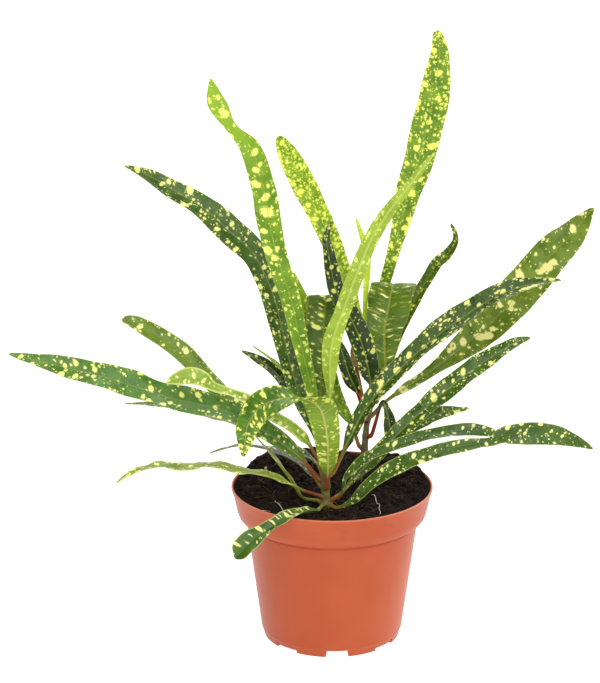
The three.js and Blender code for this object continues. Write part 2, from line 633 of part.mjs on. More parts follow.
    foot: 139, stalk: 14, fold: 10, waves: 2, wave: 0.4,
    widths: [2.5, 4.5, 6.5, 7, 6, 2.5],
    route: [[18, 6, 148], [16, 2, 159], [14, 0, 169], [14, -1, 176], [14, -1, 182]],
    upper: [[0, 1, 0.2], [0.2, 1, 0.2]],
  },
  {
    name: 'leaf_drooping', stem: 'back', finish: 'deep',
    foot: 120, stalk: 20, fold: 8, waves: 2, wave: 0.4,
    widths: [3, 6, 9, 11.5, 12, 12, 10, 6],
    route: [[26, 8, 131], [28, 5, 140], [31, 3, 144], [34, 4, 137], [36, 6, 121]],
    upper: [[-0.3, -1, 0.2], [0, -0.5, 1], [0.2, -1, 0.2]],
  },
  {
    name: 'leaf_over_rim', stem: 'front', finish: 'bright',
    foot: 90, stalk: 8, fold: 26, waves: 3, wave: 0.8,
    widths: [3, 4, 6, 8, 10, 11.5, 11.5, 11, 11, 12, 13, 13.5, 11.5, 5],
    route: [
      [-9, -38, 92], [-13, -46, 94.5], [-19, -53, 96.5], [-24, -58, 97], [-30, -62, 94.5],
      [-37, -66, 91.5], [-49, -72, 84], [-53, -74, 80], [-56, -75, 77],
    ],
    upper: [[0, -0.1, 1], [0, -0.1, 1], [-0.1, -0.5, 0.9], [-0.2, -0.8, 0.6]],
  },
];

// Smooth reading of evenly spaced values at a fraction from 0 to 1.
function readSmooth(values, fraction) {
  const place = THREE.MathUtils.clamp(fraction, 0, 1) * (values.length - 1);
  const i = Math.min(Math.floor(place), values.length - 2);
  return THREE.MathUtils.lerp(values[i], values[i + 1], THREE.MathUtils.smoothstep(place - i, 0, 1));
}

function readDirection(directions, fraction) {
  const component = (axis) => readSmooth(directions.map((direction) => direction[axis]), fraction);
  return new THREE.Vector3(component(0), component(1), component(2));
}

// The midrib: out of the stem's side, then along the route.
function midrib(leaf) {
  const { centre, radius } = stemAt(STEMS[leaf.stem], leaf.foot);
  const route = leaf.route.map(vector);
  const outward = route[0].clone().sub(centre).setZ(0).normalize();
  const foot = centre.clone().addScaledVector(outward, radius + STALK_GAP);
  const knee = foot.clone().addScaledVector(outward, KNEE.out).setZ(foot.z + KNEE.up);
  return { curve: lineThrough([foot, knee, ...route]), outward };
}

// Six points round the midrib: left edge, rib and right edge above, then the same below from the right.
function leafRing(leaf, point, across, up, halfWidth, bladeShare, phase) {
  const lift = halfWidth * Math.tan(THREE.MathUtils.degToRad(leaf.fold));
  const sway = leaf.wave * Math.min(1, halfWidth / CALM_HALF_WIDTH);
  const half = BLADE_THICKNESS / 2;
  const left = lift + sway * Math.sin(phase);
  const right = lift + sway * Math.sin(phase + EDGE_LAG);
  const blend = (stalk, blade) => THREE.MathUtils.lerp(stalk * STALK_RADIUS, blade, bladeShare);
  const out = blend(STALK_CREST, halfWidth);
  const section = [
    [-out, blend(STALK_SHOULDER, left + half)],
    [0, blend(1, half)],
    [out, blend(STALK_SHOULDER, right + half)],
    [out, blend(-STALK_SHOULDER, right - half)],
    [0, blend(-1, -half - RIB_DEPTH)],
    [-out, blend(-STALK_SHOULDER, left - half)],
  ];
  return section.map(([a, b]) => point.clone().addScaledVector(across, a).addScaledVector(up, b));
}

function leafSolid(leaf) {
  const { curve, outward } = midrib(leaf);
  const stalkShare = leaf.stalk / curve.getLength();
  const rings = [];
  for (let i = 0; i <= STALK_RINGS + BLADE_RINGS; i += 1) {
    const alongBlade = Math.max(0, (i - STALK_RINGS) / BLADE_RINGS);
    const fraction = i < STALK_RINGS
      ? (i / STALK_RINGS) * stalkShare
      : THREE.MathUtils.lerp(stalkShare, 1, alongBlade);
    const tangent = i === 0 ? outward : curve.getTangentAt(fraction);
    const facing = i === 0 ? new THREE.Vector3(0, 0, 1) : readDirection(leaf.upper, fraction);
    const up = facing.addScaledVector(tangent, -facing.dot(tangent)).normalize();
    const across = tangent.clone().cross(up);
    const halfWidth = readSmooth(leaf.widths, alongBlade) / 2;
    const bladeShare = i <= STALK_RINGS ? 0 : THREE.MathUtils.smoothstep(i - STALK_RINGS, 0, 2);
    const phase = alongBlade * leaf.waves * 2 * Math.PI + leaf.foot;
    rings.push(leafRing(leaf, curve.getPointAt(fraction), across, up, halfWidth, bladeShare, phase));
  }
  return loft(rings, (k) => k < 3);
}

// ---------------------------------------------------------------- assembly

const croton = new THREE.Group();
croton.name = 'potted_croton';

function addPiece(name, geometry, material) {
  const mesh = new THREE.Mesh(geometry, material);
  mesh.name = name;
  croton.add(mesh);
}

addPiece('pot', pot(), FINISHES.terracotta);
addPiece('soil', soil(), FINISHES.peat);
for (const stem of Object.values(STEMS)) {
  addPiece(stem.name, stemSolid(stem), FINISHES[stem.finish]);
}
for (const leaf of LEAVES) {
  addPiece(leaf.name, leafSolid(leaf), FINISHES[leaf.finish]);
}

export default croton;
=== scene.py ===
"""A croton in a plastic nursery pot: speckled leaves on two stems, peat soil and the moulded pot.

Everything is in metres with +Z up and the pot's axis at the origin. -Y is the side that the plant
is seen from. Sizes of the plant are given in millimetres and turned to metres by MM.
"""

import json
import logging
import math
from dataclasses import dataclass, field
from enum import Enum

import bpy
import numpy as np
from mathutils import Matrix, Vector, noise

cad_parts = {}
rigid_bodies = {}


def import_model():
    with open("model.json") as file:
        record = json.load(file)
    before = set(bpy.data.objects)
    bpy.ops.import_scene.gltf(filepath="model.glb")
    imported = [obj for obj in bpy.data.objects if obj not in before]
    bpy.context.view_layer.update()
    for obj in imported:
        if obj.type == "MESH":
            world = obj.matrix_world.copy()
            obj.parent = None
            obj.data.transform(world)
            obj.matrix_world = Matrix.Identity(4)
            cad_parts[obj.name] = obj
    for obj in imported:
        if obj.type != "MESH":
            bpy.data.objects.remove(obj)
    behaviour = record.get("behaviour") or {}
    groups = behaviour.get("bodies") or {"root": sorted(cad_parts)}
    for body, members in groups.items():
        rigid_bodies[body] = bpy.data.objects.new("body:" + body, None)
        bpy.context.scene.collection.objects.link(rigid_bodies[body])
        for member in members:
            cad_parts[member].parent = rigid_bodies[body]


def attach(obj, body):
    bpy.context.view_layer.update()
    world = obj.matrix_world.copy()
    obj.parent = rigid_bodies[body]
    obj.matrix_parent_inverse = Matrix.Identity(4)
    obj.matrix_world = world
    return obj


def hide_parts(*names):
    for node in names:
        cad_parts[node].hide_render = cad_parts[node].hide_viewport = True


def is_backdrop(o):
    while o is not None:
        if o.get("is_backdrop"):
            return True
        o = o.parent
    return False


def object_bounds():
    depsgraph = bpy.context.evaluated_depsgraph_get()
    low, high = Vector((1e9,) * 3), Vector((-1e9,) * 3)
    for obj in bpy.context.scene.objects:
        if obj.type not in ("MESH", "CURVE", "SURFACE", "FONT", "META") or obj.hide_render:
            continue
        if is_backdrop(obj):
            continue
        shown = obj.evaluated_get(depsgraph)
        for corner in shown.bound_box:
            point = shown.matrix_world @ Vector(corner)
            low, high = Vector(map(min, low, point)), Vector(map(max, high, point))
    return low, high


LOG = logging.getLogger("croton")
MM = 0.001
BODY = "root"

Rgb = tuple[int, int, int]
Colour = tuple[float, float, float, float]
Point = tuple[float, float, float]
Array = np.ndarray
Piece = bpy.types.Object
Material = bpy.types.Material
Tree = bpy.types.NodeTree
Socket = bpy.types.NodeSocket


# ---- curves and numbers


def linear(rgb: Rgb) -> Colour:
    """The linear colour of three display values from 0 to 255."""
    shares = (value / 255 for value in rgb)
    return (*(s / 12.92 if s <= 0.04045 else ((s + 0.055) / 1.055) ** 2.4 for s in shares), 1.0)


def smoothstep(value: Array | float, low: float, high: float) -> Array | float:
    """Rises smoothly from 0 at `low` to 1 at `high`."""
    share = np.clip((value - low) / (high - low), 0, 1)
    return share * share * (3 - 2 * share)


def read_evenly(values: tuple, fraction: Array) -> Array:
    """Reads evenly spaced values on a smooth curve that never passes beyond its neighbours.

    Args:
        values: numbers or points, the first at fraction 0 and the last at fraction 1.
        fraction: where to read, from 0 to 1.

    Returns:
        One number or point for each fraction.
    """
    knots = np.asarray(values, float)
    flat = knots.reshape(len(knots), -1)
    steps = np.diff(flat, axis=0)
    slope = np.zeros_like(flat)
    same_way = steps[:-1] * steps[1:] > 0
    total = steps[:-1] + steps[1:]
    slope[1:-1] = np.where(same_way, 2 * steps[:-1] * steps[1:] / np.where(same_way, total, 1), 0)
    slope[0], slope[-1] = steps[0], steps[-1]
    place = np.clip(fraction, 0, 1) * (len(knots) - 1)
    i = np.minimum(place.astype(int), len(knots) - 2)
    t = (place - i)[:, None]
    low, high = flat[i], flat[i + 1]
    read = (
        low * (1 + 2 * t) * (1 - t) ** 2
        + slope[i] * t * (1 - t) ** 2
        + high * t * t * (3 - 2 * t)
        + slope[i + 1] * t * t * (t - 1)
    )
    return read if knots.ndim > 1 else read[:, 0]


class Path:
    """A centripetal Catmull-Rom curve through points, read by distance along it."""

    SAMPLES_A_SPAN = 40
    SMALLEST_GAP = 1e-4  # between two of its points, so that none has no length

    def __init__(self, points: Array) -> None:
        """Keeps closely spaced samples of the curve and their distances.

        Args:
            points: one row of x, y, z for each point that the curve passes.
        """
        points = np.asarray(points, float)
        before = 2 * points[0] - points[1]
        after = 2 * points[-1] - points[-2]
        controls = np.vstack([before, points, after])
        spans = [self._span(controls[i:i + 4]) for i in range(len(points) - 1)]
        self.samples = np.vstack([*spans, points[-1:]])
        lengths = np.linalg.norm(np.diff(self.samples, axis=0), axis=1)
        self.distance = np.concatenate([[0], np.cumsum(lengths)])
        self.length = float(self.distance[-1])

    def _span(self, four: Array) -> Array:
        """Samples the curve between the middle two of four points.

        Args:
            four: the points, one a row.

        Returns:
            Places from the second point up to just before the third.
        """
        chords = np.linalg.norm(np.diff(four, axis=0), axis=1)
        gaps = np.maximum(chords ** 0.5, self.SMALLEST_GAP)
        rates = np.diff(four, axis=0) / gaps[:, None]
        wide = (four[2:] - four[:-2]) / (gaps[:-1] + gaps[1:])[:, None]
        leaving = (rates[0] - wide[0] + rates[1]) * gaps[1]
        arriving = (rates[1] - wide[1] + rates[2]) * gaps[1]
        t = np.arange(self.SAMPLES_A_SPAN)[:, None] / self.SAMPLES_A_SPAN
        low, high = four[1], four[2]
        square = 3 * (high - low) - 2 * leaving - arriving
        cube = 2 * (low - high) + leaving + arriving
        return low + leaving * t + square * t ** 2 + cube * t ** 3

    def at(self, distance: Array | float) -> Array:
        """The points at the given distances from the start."""
        columns = [np.interp(distance, self.distance, self.samples[:, axis]) for axis in range(3)]
        return np.stack(columns, axis=-1)

    def direction(self, distance: Array | float, reach: float = 0.9) -> Array:
        """The unit direction of the curve.

        Args:
            distance: where to read it, from the start.
            reach: how far before and after each place it is measured.

        Returns:
            One direction for each distance.
        """
        ahead = self.at(np.minimum(np.asarray(distance) + reach, self.length))
        behind = self.at(np.maximum(np.asarray(distance) - reach, 0))
        way = ahead - behind
        return way / np.linalg.norm(way, axis=-1, keepdims=True)

    def distance_at_height(self, height: float) -> float:
        """How far along an upright curve a height is reached."""
        return float(np.interp(height, self.samples[:, 2], self.distance))


# ---- meshes


def new_piece(name: str, points: Array, faces: list, smooth: bool = True) -> Piece:
    """Makes a mesh object at the origin from points in millimetres.

    Args:
        name: the piece's name.
        points: one row of x, y, z for each vertex.
        faces: vertex numbers of each face.
        smooth: whether the faces are shaded smoothly.

    Returns:
        The object, linked to the scene.
    """
    mesh = bpy.data.meshes.new(name)
    mesh.from_pydata((np.asarray(points) * MM).tolist(), [], faces)
    mesh.polygons.foreach_set("use_smooth", [smooth] * len(mesh.polygons))
    mesh.update()
    piece = bpy.data.objects.new(name, mesh)
    bpy.context.scene.collection.objects.link(piece)
    return piece


def tube_faces(rings: int, sides: int, first: int = 0) -> list[tuple[int, ...]]:
    """Faces of a closed tube whose rings follow each other, with flat ends.

    Args:
        rings: how many rings there are.
        sides: points in a ring, which turns to the left seen against the tube's direction.
        first: number of the first vertex.

    Returns:
        Quads round the tube and one face at each end.
    """
    faces = []
    for r in range(rings - 1):
        low = first + r * sides
        high = low + sides
        for k in range(sides):
            after = (k + 1) % sides
            faces.append((low + k, low + after, high + after, high + k))
    last = first + (rings - 1) * sides
    faces.append(tuple(range(first + sides - 1, first - 1, -1)))
    faces.append(tuple(range(last, last + sides)))
    return faces


def add_values(piece: Piece, name: str, values: Array) -> None:
    """Stores one number for each vertex, for the finishes to read."""
    layer = piece.data.attributes.new(name, "FLOAT", "POINT")
    layer.data.foreach_set("value", np.asarray(values, np.float32).ravel())


def add_map(piece: Piece, name: str, places: Array) -> None:
    """Stores a UV map with one row of u, v for each face corner."""
    layer = piece.data.uv_layers.new(name=name)
    layer.data.foreach_set("uv", np.asarray(places, np.float32).ravel())


def round_tube(path: Path, radii: Array, distances: Array, sides: int) -> Array:
    """Rings of points round a path.

    Args:
        path: the centre line.
        radii: the radius at each distance, or one row of radii for each ring.
        distances: where the rings stand along the path.
        sides: points in a ring.

    Returns:
        An array of rings, points and coordinates.
    """
    centre = path.at(distances)
    tangent = path.direction(distances)
    across = np.cross([0.0, 1.0, 0.0], tangent)
    across /= np.linalg.norm(across, axis=1, keepdims=True)
    up = np.cross(tangent, across)
    angle = np.arange(sides) / sides * 2 * math.pi
    rows = np.asarray(radii, float).reshape(len(distances), -1)
    reach = np.broadcast_to(rows, (len(distances), sides))
    return (
        centre[:, None]
        + across[:, None] * (reach * np.cos(angle))[..., None]
        + up[:, None] * (reach * np.sin(angle))[..., None]
    )


def fractal(point: Point, scale: float, octaves: int = 3) -> float:
    """Smooth noise of about -1 to 1 at a point in millimetres, with features `scale` across."""
    fineness, finer_each_time = 0.9, 2.1
    return noise.fractal(Vector(point) / scale, fineness, finer_each_time, octaves)


def circle(sides: int) -> Array:
    """Evenly spaced points on a circle of radius 1, one row of x, y each."""
    angles = np.arange(sides) / sides * 2 * math.pi
    return np.stack([np.cos(angles), np.sin(angles)], axis=1)


def bake_modifiers(piece: Piece) -> None:
    """Replaces a piece's mesh by the result of its modifiers, which are then removed."""
    graph = bpy.context.evaluated_depsgraph_get()
    made = bpy.data.meshes.new_from_object(piece.evaluated_get(graph))
    piece.modifiers.clear()
    piece.data = made
    made.name = piece.name


def shade_by_angle(piece: Piece, degrees: float) -> None:
    """Shades a piece smoothly and keeps the edges sharper than an angle crisp."""
    mesh = piece.data
    mesh.polygons.foreach_set("use_smooth", [True] * len(mesh.polygons))
    mesh.set_sharp_from_angle(angle=math.radians(degrees))


def keep_piece(piece: Piece, slot: str, *nodes: str) -> None:
    """Makes a finished piece ride on the plant, stand for its solids and log its slot.

    Args:
        piece: the finished piece.
        slot: the record's material slot.
        nodes: the solids that it stands for, if any.
    """
    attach(piece, BODY)
    if nodes:
        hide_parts(*nodes)
    LOG.info("%s: %d faces, slot %s", piece.name, len(piece.data.polygons), slot)


# ---- finishes


class Painter:
    """Writes the nodes of one finish, a call for each step."""

    MIX_SHARE, MIX_A, MIX_B, MIX_RESULT = 0, 6, 7, 2  # a colour mix node's sockets

    def __init__(self, name: str) -> None:
        """Starts a material with a principled shader.

        Args:
            name: the material's name.
        """
        self.material = bpy.data.materials.new(name)
        self.material.use_nodes = True
        self.tree = self.material.node_tree
        self.tree.nodes.clear()
        self.shader = self.node("ShaderNodeBsdfPrincipled")
        output = self.node("ShaderNodeOutputMaterial")
        self.tree.links.new(self.shader.outputs["BSDF"], output.inputs["Surface"])

    def node(
        self, kind: str, *values: Socket | float | tuple | None, **settings: str
    ) -> bpy.types.Node:
        """Adds a node.

        Args:
            kind: the node's type.
            values: what its inputs are fed, in order.
            settings: its options by name.

        Returns:
            The node.
        """
        made = self.tree.nodes.new(kind)
        for name, value in settings.items():
            setattr(made, name, value)
        for socket, value in zip(made.inputs, values):
            self.feed(socket, value)
        return made

    def feed(self, socket: Socket, value: Socket | float | tuple | None) -> None:
        """Joins another socket to an input or writes a plain value there."""
        if isinstance(value, Socket):
            self.tree.links.new(value, socket)
        elif value is not None:
            socket.default_value = value

    def set(self, name: str, value: Socket | float | tuple) -> None:
        """Feeds one of the shader's own inputs."""
        self.feed(self.shader.inputs[name], value)

    def objects(self) -> Socket:
        """Object coordinates, in metres."""
        return self.node("ShaderNodeTexCoord").outputs["Object"]

    def map(self, name: str) -> Socket:
        """One of the piece's own UV maps."""
        return self.node("ShaderNodeUVMap", uv_map=name).outputs[0]

    def value(self, name: str) -> Socket:
        """A number stored at the piece's vertices."""
        return self.node("ShaderNodeAttribute", attribute_name=name).outputs["Fac"]

    def part(self, vector: Socket, axis: int) -> Socket:
        """One coordinate of a vector."""
        return self.node("ShaderNodeSeparateXYZ", vector).outputs[axis]

    def math(self, operation: str, a: Socket | float, b: Socket | float = 0.0) -> Socket:
        """The result of one sum."""
        return self.node("ShaderNodeMath", a, b, operation=operation).outputs[0]

    def plus(self, a: Socket | float, b: Socket | float) -> Socket:
        """Two numbers added."""
        return self.math("ADD", a, b)

    def minus(self, a: Socket | float, b: Socket | float) -> Socket:
        """The second number taken from the first."""
        return self.math("SUBTRACT", a, b)

    def times(self, a: Socket | float, b: Socket | float) -> Socket:
        """Two numbers multiplied."""
        return self.math("MULTIPLY", a, b)

    def greatest(self, first: Socket, *others: Socket) -> Socket:
        """The greatest of several numbers."""
        for other in others:
            first = self.math("MAXIMUM", first, other)
        return first

    def step(self, value: Socket, low: float | Socket, high: float | Socket) -> Socket:
        """Rises smoothly from 0 at `low` to 1 at `high`."""
        ramp = self.node("ShaderNodeMapRange", value, low, high, interpolation_type="SMOOTHSTEP")
        return ramp.outputs[0]

    def span(self, value: Socket, low: float, high: float) -> Socket:
        """Turns 0 to 1 into `low` to `high`."""
        return self.node("ShaderNodeMapRange", value, 0.0, 1.0, low, high).outputs[0]

    def mix(self, share: Socket | float, a: Socket | Colour, b: Socket | Colour) -> Socket:
        """A colour between two others.

        Args:
            share: how much of the second there is, from 0 to 1.
            a: the first colour.
            b: the second colour.

        Returns:
            The mixed colour.
        """
        made = self.node("ShaderNodeMix", data_type="RGBA")
        for index, value in ((self.MIX_SHARE, share), (self.MIX_A, a), (self.MIX_B, b)):
            self.feed(made.inputs[index], value)
        return made.outputs[self.MIX_RESULT]

    def over(self, base: Socket, mask: Socket, strength: float, colour: Rgb) -> Socket:
        """Lays a colour over another where a mask is, at the given strength."""
        return self.mix(self.times(mask, strength), base, linear(colour))

    def scaled(self, vector: Socket, *factors: float) -> Socket:
        """A vector stretched along each axis."""
        return self.node("ShaderNodeVectorMath", vector, factors, operation="MULTIPLY").outputs[0]

    def added(self, a: Socket, b: Socket | tuple) -> Socket:
        """The sum of two vectors."""
        return self.node("ShaderNodeVectorMath", a, b, operation="ADD").outputs[0]

    def radius(self, place: Socket) -> Socket:
        """How far a place is from the upright axis."""
        flat = self.scaled(place, 1, 1, 0)
        return self.node("ShaderNodeVectorMath", flat, operation="LENGTH").outputs["Value"]

    def noise(self, vector: Socket, scale: float, detail: float = 2.0, output: int = 0) -> Socket:
        """Noise from 0 to 1.

        Args:
            vector: the coordinates that it follows.
            scale: how fine it is.
            detail: how many finer layers it has.
            output: 0 for a number, 1 for a colour.

        Returns:
            The noise.
        """
        made = self.node("ShaderNodeTexNoise")
        self.feed(made.inputs["Vector"], vector)
        made.inputs["Scale"].default_value = scale
        made.inputs["Detail"].default_value = detail
        return made.outputs[output]

    def cells(self, vector: Socket, scale: float = 1.0) -> tuple[Socket, Socket]:
        """Scattered points, one in each cell.

        Args:
            vector: the coordinates that they follow.
            scale: how many cells there are for each unit.

        Returns:
            Distance to the nearest point, and that point's own random number.
        """
        made = self.node("ShaderNodeTexVoronoi")
        self.feed(made.inputs["Vector"], vector)
        made.inputs["Scale"].default_value = scale
        own = self.node("ShaderNodeSeparateColor", made.outputs["Color"]).outputs[0]
        return made.outputs["Distance"], own

    def bump(self, height: Socket, depth: float, strength: float = 1.0) -> None:
        """Roughens the surface.

        Args:
            height: how high each place is, from 0 to 1.
            depth: metres for a height of 1.
            strength: how much of it shows.
        """
        made = self.node("ShaderNodeBump")
        made.inputs["Strength"].default_value = strength
        made.inputs["Distance"].default_value = depth
        self.feed(made.inputs["Height"], height)
        self.set("Normal", made.outputs[0])


@dataclass(frozen=True)
class LeafFinish:
    """The colours and markings of one kind of leaf. Sizes are in millimetres."""

    name: str
    slot: str
    blade: Rgb
    flush: Rgb  # lighter patches between the veins
    mark: Rgb
    underside: Rgb
    dots: float = 0.55  # share of the small cells that hold a dot
    dot_cell: float = 3.0
    blots: float = 0.12  # share of the large cells that hold a blotch
    blot_cell: float = 6.6
    specks: float = 0.3  # share of the finest cells that hold a speck
    mark_size: float = 1.0
    stretch: float = 1.0  # how much longer a mark is along the side veins
    rim_bias: float = 0.16  # how much more often marks come near the rims
    rib: Rgb = (140, 160, 60)
    rib_width: float = 0.45
    rib_show: float = 0.5
    rim: Rgb = (172, 184, 84)
    rim_width: float = 0.25
    tip: Rgb | None = None  # colour towards the tip, where it differs
    under_marks: float = 0.35  # how strongly the marks show through below
    under_veins: float = 0.25  # how pale the side veins are below
    gloss: float = 0.3  # roughness of the upper face
    shine: float = 0.36  # the shader's specular level
    vein_light: float = 0.1  # how much lighter the side veins are
    glow: float = 0.3  # how strongly the green round a mark is lightened

    def material(self) -> Material:
        """Writes the finish."""
        return LeafPainter(self).finished()


class LeafPainter(Painter):
    """Writes a leaf's finish: both faces of the blade with their marks, and the stalk."""

    STALK_GREEN = (128, 136, 40)
    STALK_RED = (150, 42, 32)
    BROWN_SPOT = (120, 78, 40)
    DOT_RADIUS = 0.36  # radius of the largest marks, as a share of their spacing
    BLOT_RADIUS = 0.31
    SPECK_RADIUS = 0.4
    SPECK_CELL = 0.5  # spacing of the specks, as a share of that of the dots
    MARK_EDGE = 0.16  # width of a mark's soft edge
    HALO_REACH = 0.6  # how far the light green reaches beyond a mark
    EDGE_WANDER = 1.8  # how far the outlines of the marks stray
    CROWDING = 0.4  # how much more often marks come in some places
    NEAR_RIM = 3.5  # where marks begin to come more often towards a rim
    STREAKS = 0.4  # strength of the streaks along the side veins
    STREAK_SHADE = 0.6  # brightness of the darker ones
    TIP_START, TIP_END = 0.62, 0.9  # where the tip's colour begins and is full
    RIB_TAPER = 0.45  # width of the midrib at the tip, as a share of that at the foot
    RIM_STRENGTH = 0.6
    BROWN_STRENGTH = 0.7
    UNDER_RIB_STRENGTH = 0.6
    UNDER_DULLER = 0.86  # brightness of the darker patches below
    DULLER_MARKS = 0.05  # how much rougher marks are than the green
    DULLER_BELOW = 0.16  # and the underside than the upper face
    RELIEF = 0.00014  # metres

    def __init__(self, finish: "LeafFinish") -> None:
        """Makes the masks that both faces of the blade share.

        Args:
            finish: the leaf's colours and markings.
        """
        super().__init__(finish.name)
        self.finish = finish
        self.flat = self.map("blade")
        self.mottle = self.step(self.noise(self.flat, 0.1, 4.0), 0.3, 0.7)
        self.ragged = self.span(self.noise(self.flat, 0.5, 2.5), -0.5, 0.5)
        across_veins = self.part(self.map("veins"), 1)
        self.wave = self.math("COSINE", self.times(across_veins, 2 * math.pi / Leaf.VEIN_SPACING))
        self.vein = self.step(self.wave, 0.9, 1.0)
        self.streak = self.noise(self.scaled(self.map("veins"), 0.3, 1.6, 1), 1.0, 3.0)
        stray = self.added(self.noise(self.flat, 0.6, 1.5, output=1), (-0.5, -0.5, 0))
        stray = self.scaled(stray, self.EDGE_WANDER, self.EDGE_WANDER, 0)
        self.veins = self.added(self.map("veins"), stray)
        rim_near = self.step(self.value("rim"), self.NEAR_RIM, 0.5)
        crowded = self.span(self.noise(self.flat, 0.07, 2.0), -self.CROWDING, self.CROWDING)
        self.lean = self.plus(crowded, self.times(rim_near, finish.rim_bias))

    def _scattered(self, cell: float, share: float, biggest: float) -> tuple[Socket, Socket]:
        """Scattered round marks, drawn out along the side veins.

        Args:
            cell: the spacing of the marks.
            share: the share of cells that hold a mark.
            biggest: radius of the largest mark, as a share of the cell.

        Returns:
            A mask of the marks and a wider, softer mask round them.
        """
        along = 1 / (cell * self.finish.stretch)
        distance, own = self.cells(self.scaled(self.veins, along, 1 / cell, 1))
        size = self.step(self.plus(own, self.lean), 1 - share, 1.0)
        radius = self.times(self.math("POWER", size, 0.4), biggest * self.finish.mark_size)
        reach = self.minus(radius, distance)
        halo = self.times(self.step(reach, -self.HALO_REACH / cell, 0.1), self.step(size, 0.0, 0.1))
        return self.step(reach, 0.0, self.MARK_EDGE / cell), halo

    def _marks(self) -> tuple[Socket, Socket, Socket]:
        """All the marks: masks of them, of the light green round them and of full colour."""
        own = self.finish
        dots, dot_halo = self._scattered(own.dot_cell, own.dots, self.DOT_RADIUS)
        blots, blot_halo = self._scattered(own.blot_cell, own.blots, self.BLOT_RADIUS)
        cell = own.dot_cell * self.SPECK_CELL
        specks, _ = self._scattered(cell, own.specks, self.SPECK_RADIUS)
        depth = self.plus(self.value("blot"), self.ragged)
        placed = self.step(depth, 0.0, 0.08)
        halo = self.greatest(dot_halo, blot_halo, self.step(depth, -0.35, 0.1))
        ripe = self.greatest(blots, placed, self.mottle)
        return self.greatest(dots, blots, specks, placed), halo, ripe

    def _upper(self, marks: Socket, halo: Socket, ripe: Socket) -> Socket:
        """The colour of the upper face.

        Args:
            marks: mask of the marks.
            halo: mask of the light green round them.
            ripe: mask of their full colour.

        Returns:
            The colour.
        """
        own = self.finish
        colour = self.mix(self.mottle, linear(own.blade), linear(own.flush))
        if own.tip:
            near_tip = self.step(self.value("along"), self.TIP_START, self.TIP_END)
            colour = self.mix(near_tip, colour, linear(own.tip))
        colour = self.over(colour, self.vein, own.vein_light, own.rib)
        light_streak = self.step(self.streak, 0.45, 0.75)
        colour = self.over(colour, light_streak, self.STREAKS, own.flush)
        shade = tuple(self.STREAK_SHADE * c for c in linear(own.blade))
        dark_streak = self.times(self.step(self.streak, 0.5, 0.25), self.STREAKS)
        colour = self.mix(dark_streak, colour, shade)
        colour = self.over(colour, halo, own.glow, own.mark)
        greener = tuple(0.5 * (a + b) for a, b in zip(linear(own.mark), linear(own.flush)))
        mark_colour = self.mix(self.span(ripe, 0.6, 1.0), greener, linear(own.mark))
        colour = self.mix(marks, colour, mark_colour)

        half_rib = self.times(self.span(self.value("along"), 1.0, self.RIB_TAPER), own.rib_width)
        rib = self.step(self.minus(half_rib, self.value("rib")), -0.2, 0.15)
        colour = self.over(colour, rib, own.rib_show, own.rib)
        rim = self.step(self.minus(own.rim_width, self.value("rim")), -0.12, 0.12)
        colour = self.over(colour, rim, self.RIM_STRENGTH, own.rim)
        brown = self.step(self.plus(self.value("brown"), self.ragged), 0.2, 0.7)
        return self.over(colour, brown, self.BROWN_STRENGTH, self.BROWN_SPOT)

    def _below(self, marks: Socket) -> Socket:
        """The colour of the underside, where the marks show through."""
        own = self.finish
        duller = tuple(int(self.UNDER_DULLER * c) for c in own.underside)
        colour = self.mix(self.mottle, linear(duller), linear(own.underside))
        colour = self.over(colour, self.vein, own.under_veins, own.rib)
        colour = self.over(colour, marks, own.under_marks, own.mark)
        rib = self.step(self.minus(own.rib_width + 0.2, self.value("rib")), -0.3, 0.3)
        return self.over(colour, rib, self.UNDER_RIB_STRENGTH, own.rib)

    def finished(self) -> Material:
        """Writes the colour, roughness and relief and gives the whole finish."""
        gloss = self.finish.gloss
        marks, halo, ripe = self._marks()
        under = self.value("under")
        colour = self.mix(under, self._upper(marks, halo, ripe), self._below(marks))
        blush = self.times(self.value("blush"), self.span(self.mottle, 0.8, 1.15))
        stalk = self.mix(blush, linear(self.STALK_GREEN), linear(self.STALK_RED))
        self.set("Base Color", self.mix(self.value("stalk"), colour, stalk))
        rough = self.span(self.mottle, gloss - 0.04, gloss + 0.06)
        rough = self.plus(rough, self.times(marks, self.DULLER_MARKS))
        self.set("Roughness", self.plus(rough, self.times(under, self.DULLER_BELOW)))
        self.set("Specular IOR Level", self.finish.shine)
        relief = self.plus(self.times(self.wave, 0.15), self.noise(self.flat, 2.2, 3.0))
        self.bump(self.plus(relief, self.streak), self.RELIEF)
        return self.material


